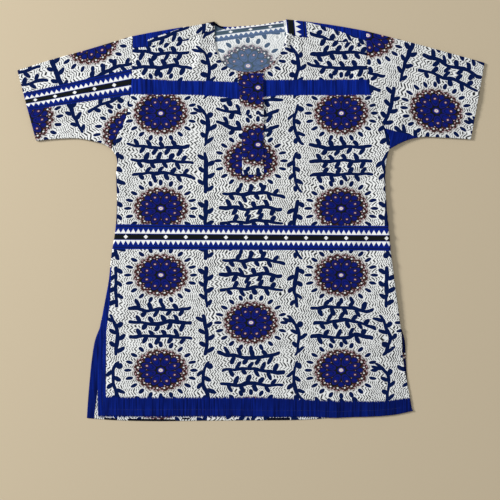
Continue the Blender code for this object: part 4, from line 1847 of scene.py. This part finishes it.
@dataclass
class Sleeve:
    """A short sleeve: a flattened tube, folded along its top and seamed under the arm."""

    hand: Hand
    cut: Cut
    shop: PrintShop
    pitch: float = 3.4
    arc_steps: int = 8
    fold_fade: float = 0.2  # share of the breadth over which creases fade out at a fold
    near_armhole: tuple[float, ...] = (0.0, 0.35, 0.8, 1.5, 2.4, 3.6, 5.2, 7.5)
    near_cuff: tuple[float, ...] = (28.0, 24.0, 22.0, 20.8, 20.0, 19.2, 17.5, 14.0, 10.0, 6.0, 3.0, 1.2, 0.0)
    mouth: float = 1.9  # how far the cuff's upper layer stands open
    mouth_reach: float = 44.0
    settle: float = 0.5
    seam_split: float = 0.12  # radians of the underarm's round between the two edges

    def __post_init__(self) -> None:
        """Lay the sleeve's seam along the armhole, and measure its ends."""
        top = self.cut.corner(self.hand, "fold")[1]
        hole = self.cut.armhole(self.hand, top)
        lefts = unit(np.stack((-np.gradient(hole[:, 1]), np.gradient(hole[:, 0])), axis=1))
        self.seam = hole + lefts * SEAM_GAP * self.hand.sign
        self.rows = (SleeveRow(0.0, *self.seam[0], *self.seam[-1]), *SLEEVES[self.hand])
        self.hole_line = Path(self.seam)
        self.cuff_line = Path(self.section(1.0))
        fold_run = self.cuff_line.corners[0] - self.seam[0]
        self.length = float(np.linalg.norm(fold_run))
        self.ahead = fold_run / self.length
        self.aside = np.array((self.ahead[1], -self.ahead[0])) * self.hand.sign

    def section(self, out: float) -> Array:
        """Lay out a line across the sleeve, from the armhole's curve to a straight cuff.

        Args:
            out: the share of the way out.

        Returns:
            The line's points, from the fold to the underarm seam.
        """
        fold_x, fold_y, under_x, under_y = (read(self.rows, name, out) for name in SleeveRow._fields[1:])
        shares = np.linspace(0.0, 1.0, len(self.seam))[:, None]
        bulge = self.seam - self.seam[0] - (self.seam[-1] - self.seam[0]) * shares
        straight = np.array((fold_x, fold_y)) * (1 - shares) + np.array((under_x, under_y)) * shares
        return straight + bulge * (1 - ease(out))

    def places(self) -> Array:
        """Shares of the way out at which the sleeve has a ring of points."""
        start, end = self.near_armhole, self.length - np.array(self.near_cuff)
        return np.concatenate((start, spread(start[-1], end[0], self.pitch)[1:-1], end)) / self.length

    def ring(self, out: float) -> Array:
        """Lay out points round the sleeve, from the underarm seam along the lower layer and back above.

        Args:
            out: the share of the way out.

        Returns:
            Rows of X, Y, height and the share across.
        """
        line = self.section(out)
        inward = unit(line[-1] - line[0])
        line[0] += inward * FOLD_RADIUS
        line[-1] -= inward * FOLD_RADIUS
        shares = np.linspace(0.0, 1.0, len(line))
        half = np.linspace(math.pi / 2 - self.seam_split, 0.0, self.arc_steps // 2 + 1)
        whole = np.linspace(0.0, math.pi, self.arc_steps + 1)

        def bend(end: int, outward: Array, angles: Array) -> Array:
            """Points round the fold at one end of the line."""
            data = line[end] + np.outer(np.sin(angles), outward) * FOLD_RADIUS, bent(angles)
            return np.column_stack((*data, np.full(len(angles), shares[end])))

        lower, upper = (np.column_stack((line, np.full(len(line), z), shares)) for z in (LOWER, UPPER))
        return np.vstack((
            bend(-1, inward, half[:-1]),
            lower[:0:-1],
            bend(0, -inward, whole),
            upper[1:-1],
            bend(-1, inward, math.pi - half[::-1]),
        ))

    def build(self) -> Piece:
        """Make the sleeve.

        Returns:
            The piece.
        """
        rings = [self.ring(out) for out in self.places()]
        length = len(rings[0])
        data = np.vstack(rings)
        points = data[:, :3].copy()
        share = data[:, 3]
        upper = np.tile(np.arange(length) > length / 2, len(rings))
        to_cuff, along_cuff = self.cuff_line.measure(points)
        to_hole, along_hole = self.hole_line.measure(points)
        open_cloth = ease(np.minimum(share, 1 - share) / self.fold_fade)
        mouth = self.mouth * np.sin(math.pi * share) ** 2 * bell(to_cuff / self.mouth_reach)
        folds = creased(points, SLEEVE_CREASES[self.hand]) + swelling(points) - self.settle
        relief = ARM_SEAM.relief(to_hole, along_hole) + CUFF.relief(to_cuff, along_cuff)
        points[:, 2] += np.where(upper, (folds + mouth) * open_cloth + relief * ease(open_cloth * 4), 0.0)
        points[:, 2] += standing(points)
        offset = points[:, :2] - self.seam[0]
        across = offset @ self.aside
        cloth = np.column_stack((offset @ self.ahead * self.hand.sign, np.where(upper, -across, across)))
        under = CUFF.under(to_cuff)
        faces = grid_faces(len(rings), length, flipped=self.hand is Hand.LEFT)
        sheet = Sheet(points, faces, cloth, HALF_CLOTH + under, under > 0)
        return finished(sheet, f"sleeve_{self.hand.value}", SLEEVE_PRINTS[self.hand], self.shop)


@dataclass
class PlacketStrip:
    """The strip on the front from the neck down, turned in and stitched on at its edges."""

    front: FrontPanel
    shop: PrintShop
    pitch: float = 2.6
    steps: int = 14  # across it, between its edges
    allowance: float = 0.45
    clearance: float = 0.12
    near_edge: tuple[float, ...] = (0.0, 0.5, 1.2, 2.1, 3.0, 4.2, 6.5)
    edge: Edge = Edge(
        width=7.0, layers=0.42, swell=0.3, dip=0.1, pucker=0.1, pucker_length=11.0, pucker_reach=11.2
    )
    stitch_inset: float = 2.1
    stitch_dip: float = 0.3
    stitch_dip_width: float = 0.9
    softness: float = 0.8  # share of its edges' relief that shows
    right_lift: float = 0.8  # how far the right edge stands off the front, below the neck
    lift_y: float = 246.0
    lift_reach: float = 48.0
    lift_breadth: float = 9.0

    def sides(self, y: Array) -> list[Array]:
        """Where the strip's edges are at heights."""
        return [read(PLACKET, hand.value, y) for hand in Hand]

    def stitch_line(self) -> Array:
        """Lay out the line of its stitches.

        Returns:
            Its points, down the left edge and up the right one.
        """
        inset = self.stitch_inset
        heights = np.array((PLACKET[0].y - inset, PLACKET[1].y, PLACKET[-1].y + inset))
        left, right = self.sides(heights)
        down = np.column_stack((left + inset, heights))
        return np.vstack((down, np.column_stack((right - inset, heights))[::-1]))

    def build(self) -> Piece:
        """Make the strip from the front's own lie, moved out.

        Returns:
            The piece.
        """
        top, bottom = PLACKET[0].y, PLACKET[-1].y
        edge = np.array(self.near_edge)
        middle = np.arange(top - edge[-1] - self.pitch, bottom + edge[-1], -self.pitch)
        heights = np.concatenate((top - edge, middle, bottom + edge[::-1]))
        rows = []
        for y, left, right in zip(heights, *self.sides(heights)):
            inner = np.linspace(left + edge[-1], right - edge[-1], self.steps + 1)
            x = np.concatenate((left + edge[:-1], inner, (right - edge[:-1])[::-1]))
            rows.append(np.column_stack((x, np.full(len(x), y))))
        flat = np.vstack(rows)
        outline = [Path(np.column_stack((side, heights))) for side in self.sides(heights)]
        outline.append(Path([(float(side), bottom) for side in self.sides(bottom)]))
        relief = np.zeros(len(flat))
        under = np.zeros(len(flat))
        for path in outline:
            distance, along = path.measure(flat)
            relief = np.maximum(relief, self.edge.relief(distance, along))
            under = np.maximum(under, self.edge.under(distance))
            relief -= self.stitch_dip * bell((distance - self.stitch_inset) / self.stitch_dip_width)
        _, right = self.sides(flat[:, 1])
        near_right = ease(1.0 - (right - flat[:, 0]) / self.lift_breadth)
        lifted = bell((flat[:, 1] - self.lift_y) / self.lift_reach) * near_right
        base, _ = self.front.lie(flat)
        height = base + HALF_CLOTH + self.clearance + self.allowance + HALF_CLOTH + relief * self.softness
        points = np.column_stack((flat, height + self.right_lift * lifted))
        faces = grid_faces(len(rows), len(rows[0]), flipped=True)
        sheet = Sheet(points, faces, flat, HALF_CLOTH + under, under > 0)
        return finished(sheet, "placket_strip", PLACKET_PRINT, self.shop, SlotName.STRIP)


class Seen(Enum):
    """From where a row of stitches is laid on its piece."""

    ABOVE = 1.0
    BELOW = -1.0


# How each panel's hem and vents are turned, and from where their stitches are laid
PANEL_EDGES = {Panel.FRONT: (HEM, VENT_EDGE, Seen.ABOVE), Panel.BACK: (BACK_EDGE, BACK_EDGE, Seen.BELOW)}


class StitchRow(NamedTuple):
    """A row of machine stitches along a line on one piece."""

    line: Array
    seen: Seen = Seen.ABOVE


@dataclass
class Stitching:
    """Machine stitches, each a short strand that dips into the cloth at both ends."""

    spacing: float = 3.1
    long: float = 2.5
    thick: float = 0.36
    sides: int = 6
    shares: tuple[float, ...] = (-0.5, -0.4, -0.15, 0.15, 0.4, 0.5)
    girths: tuple[float, ...] = (0.25, 0.8, 1.0, 1.0, 0.8, 0.25)
    rises: tuple[float, ...] = (-0.2, 0.02, 0.12, 0.12, 0.02, -0.2)
    steepest: float = 0.6  # slope past which a stitch is left out

    def pattern(self) -> tuple[Array, Faces]:
        """Shape one stitch along X, with its top at +Z.

        Returns:
            Its points and faces.
        """
        sides = self.sides
        angles = np.arange(sides) * TURN / sides
        rings = []
        for share, girth, rise in zip(self.shares, self.girths, self.rises):
            radius = self.thick / 2 * girth
            place = np.full(sides, share * self.long)
            rings.append(np.column_stack((place, np.cos(angles) * radius, np.sin(angles) * radius + rise)))
        last = (len(rings) - 1) * sides
        faces = []
        for near in range(last):
            following = near + 1 if (near + 1) % sides else near + 1 - sides
            faces.append((near + sides, following + sides, following, near))
        faces += [tuple(range(sides)), tuple(range(last, last + sides))[::-1]]
        return np.vstack(rings), faces

    def laid(self, row: StitchRow, cloth: BVHTree) -> list[Array]:
        """Lay a row's stitches on its piece.

        Args:
            row: the row.
            cloth: the piece's faces.

        Returns:
            A frame for each: its place, and the directions along, aside and out.
        """
        line = Path(row.line)
        out = row.seen.value
        frames = []
        for middle in np.arange(self.spacing, line.length - self.spacing / 2, self.spacing):
            ends = []
            for x, y in line.at(middle + np.array((-0.5, 0.5)) * self.long) * MM:
                hit, *_ = cloth.ray_cast(Vector((x, y, out * CAST_HEIGHT)), Vector((0.0, 0.0, -out)))
                if hit is not None:
                    ends.append(np.array(hit) / MM)
            if len(ends) == 2 and abs(ends[1][2] - ends[0][2]) < self.long * self.steepest:
                along = unit(ends[1] - ends[0])
                aside = unit(np.cross(np.array((0.0, 0.0, out)), along))
                frames.append(np.array(((ends[0] + ends[1]) / 2, along, aside, np.cross(along, aside))))
        return frames

    def build(
        self, name: str, piece: Piece, rows: Sequence[StitchRow], slot: SlotName, thread: Material
    ) -> Piece:
        """Make all of a piece's stitches as one mesh.

        Args:
            name: the mesh's name.
            piece: the piece of cloth.
            rows: its rows of stitches.
            slot: the slot of the cloth that they are in.
            thread: the thread's finish.

        Returns:
            The stitches.
        """
        pattern, faces = self.pattern()
        cloth = BVHTree.FromObject(piece, bpy.context.evaluated_depsgraph_get())
        frames = [frame for row in rows for frame in self.laid(row, cloth)]
        points = np.vstack([pattern @ frame[1:] + frame[0] for frame in frames])
        shifts = range(0, len(points), len(pattern))
        all_faces = [tuple(corner + shift for corner in face) for shift in shifts for face in faces]
        strand = np.column_stack((pattern[:, 0], np.arctan2(pattern[:, 2], pattern[:, 1])))
        stitches = modelled(name, points, all_faces, np.tile(strand, (len(frames), 1)), [thread])
        enlist(stitches, slot)
        return stitches


# === The shirt and its stage ===


@dataclass
class DashikiShirt:
    """The whole shirt."""

    cut: Cut = field(default_factory=Cut)
    stitching: Stitching = field(default_factory=Stitching)
    row_end: int = 5  # how many points before a corner a row of stitches ends

    def __post_init__(self) -> None:
        """Lay out the pieces of cloth."""
        shop = PrintShop()
        self.front = FrontPanel(self.cut, shop)
        self.back = BackPanel(self.cut, shop)
        self.strip = PlacketStrip(self.front, shop)
        self.sleeves = {hand: Sleeve(hand, self.cut, shop) for hand in Hand}

    def build(self) -> list[Piece]:
        """Make the pieces of cloth and the stitches in them.

        Returns:
            All of the shirt's pieces.
        """
        cloths = {"back": self.back.build(), "front": self.front.build(), "placket": self.strip.build()}
        for hand, sleeve in self.sleeves.items():
            cloths[f"sleeve_{hand.value}"] = sleeve.build()
        thread = Thread().material()
        stitches = []
        for name, rows in self.stitch_rows().items():
            slot = SlotName.STRIP if name == "placket" else SlotName.PRINT
            stitches.append(self.stitching.build(f"{name}_stitches", cloths[name], rows, slot, thread))
        return [*cloths.values(), *stitches]

    def panel_rows(self, panel: Panel) -> list[StitchRow]:
        """Lay out the rows along a panel's hem and vents.

        Args:
            panel: the front or the back.

        Returns:
            The rows, which stop short of the corners.
        """
        hem, vent, seen = PANEL_EDGES[panel]
        pitch, short = self.cut.pitch, self.row_end
        lines = [Path(self.cut.hem(panel)).beside(hem.width, pitch)[short:-short]]
        for hand in Hand:
            lines.append(Path(self.cut.vent(hand, panel)).beside(-hand.sign * vent.width, pitch)[:-short])
        return [StitchRow(line, seen) for line in lines]

    def stitch_rows(self) -> dict[str, list[StitchRow]]:
        """Lay out the rows of stitches in each piece.

        Returns:
            Rows by the name of their piece.
        """
        rows = {panel.value: self.panel_rows(panel) for panel in Panel}
        rows["front"].append(StitchRow(self.front.neck.beside(-NECK_EDGE.width, 3.0)))
        rows["back"].append(StitchRow(Path(self.cut.back_neck()).beside(NECK_EDGE.width, 3.0)))
        for hand, sleeve in self.sleeves.items():
            inward = np.array((hand.sign * NECK_EDGE.width, 0.0))
            rows["back"].append(StitchRow(self.back.ends[hand] + inward))
            inset = sleeve.section(1.0 - CUFF.width / sleeve.length)[2:-2]
            rows[f"sleeve_{hand.value}"] = [StitchRow(inset, seen) for seen in Seen]
        rows["placket"] = [StitchRow(self.strip.stitch_line())]
        return rows


@dataclass(frozen=True)
class Stage:
    """The plain pale floor, the lights and the camera."""

    floor_size: float = 9.0  # metres, as are all its sizes but the sensor's
    floor_colour: Colour = (0.57, 0.475, 0.33)
    field_of_view: float = 1.0
    camera_height: float = 1.6
    sensor: float = 36.0
    centre: tuple[float, float] = (-0.002, -0.06)
    key_place: tuple[float, float, float] = (-4.4, 1.9, 2.1)
    key_size: float = 1.1
    key_power: float = 350.0
    sky_colour: Colour = (0.96, 0.98, 1.0)
    sky_strength: float = 0.49

    def build(self) -> None:
        """Set the stage."""
        scene = bpy.context.scene
        scene.view_settings.view_transform = "Standard"
        self.lay_floor()
        self.set_lights()
        camera = bpy.data.objects.new("camera", bpy.data.cameras.new("camera"))
        camera.data.sensor_width = self.sensor
        camera.data.lens = self.sensor * self.camera_height / self.field_of_view
        camera.location = (*self.centre, self.camera_height)
        scene.collection.objects.link(camera)
        scene.camera = camera

    def lay_floor(self) -> None:
        """Make the floor."""
        half = self.floor_size / 2
        mesh = bpy.data.meshes.new("floor")
        corners = [(-half, -half, 0), (half, -half, 0), (half, half, 0), (-half, half, 0)]
        mesh.from_pydata(corners, [], [(0, 1, 2, 3)])
        floor = bpy.data.objects.new("floor", mesh)
        bpy.context.scene.collection.objects.link(floor)
        finish = Finish("pale_floor")
        finish.shade({"Base Color": self.floor_colour, "Roughness": 0.9, "Specular IOR Level": 0.1})
        mesh.materials.append(finish.material)

    def set_lights(self) -> None:
        """Make the soft sky and the key light at the upper left."""
        world = bpy.data.worlds.new("sky")
        world.use_nodes = True
        background = world.node_tree.nodes["Background"]
        background.inputs["Color"].default_value = (*self.sky_colour, 1.0)
        background.inputs["Strength"].default_value = self.sky_strength
        bpy.context.scene.world = world
        light = bpy.data.lights.new("key", "AREA")
        light.size = self.key_size
        light.energy = self.key_power
        key = bpy.data.objects.new("key", light)
        key.location = self.key_place
        aim = Vector((*self.centre, 0.0)) - Vector(self.key_place)
        key.rotation_euler = aim.to_track_quat("-Z", "Y").to_euler()
        bpy.context.scene.collection.objects.link(key)


def main() -> None:
    """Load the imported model, set the stage and make the shirt."""
    logging.basicConfig(level=logging.INFO, format="%(name)s: %(message)s")
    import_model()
    Stage().build()
    for piece in DashikiShirt().build():
        LOG.info("%s: %d faces", piece.name, len(piece.data.polygons))


if __name__ == "__main__":
    main()
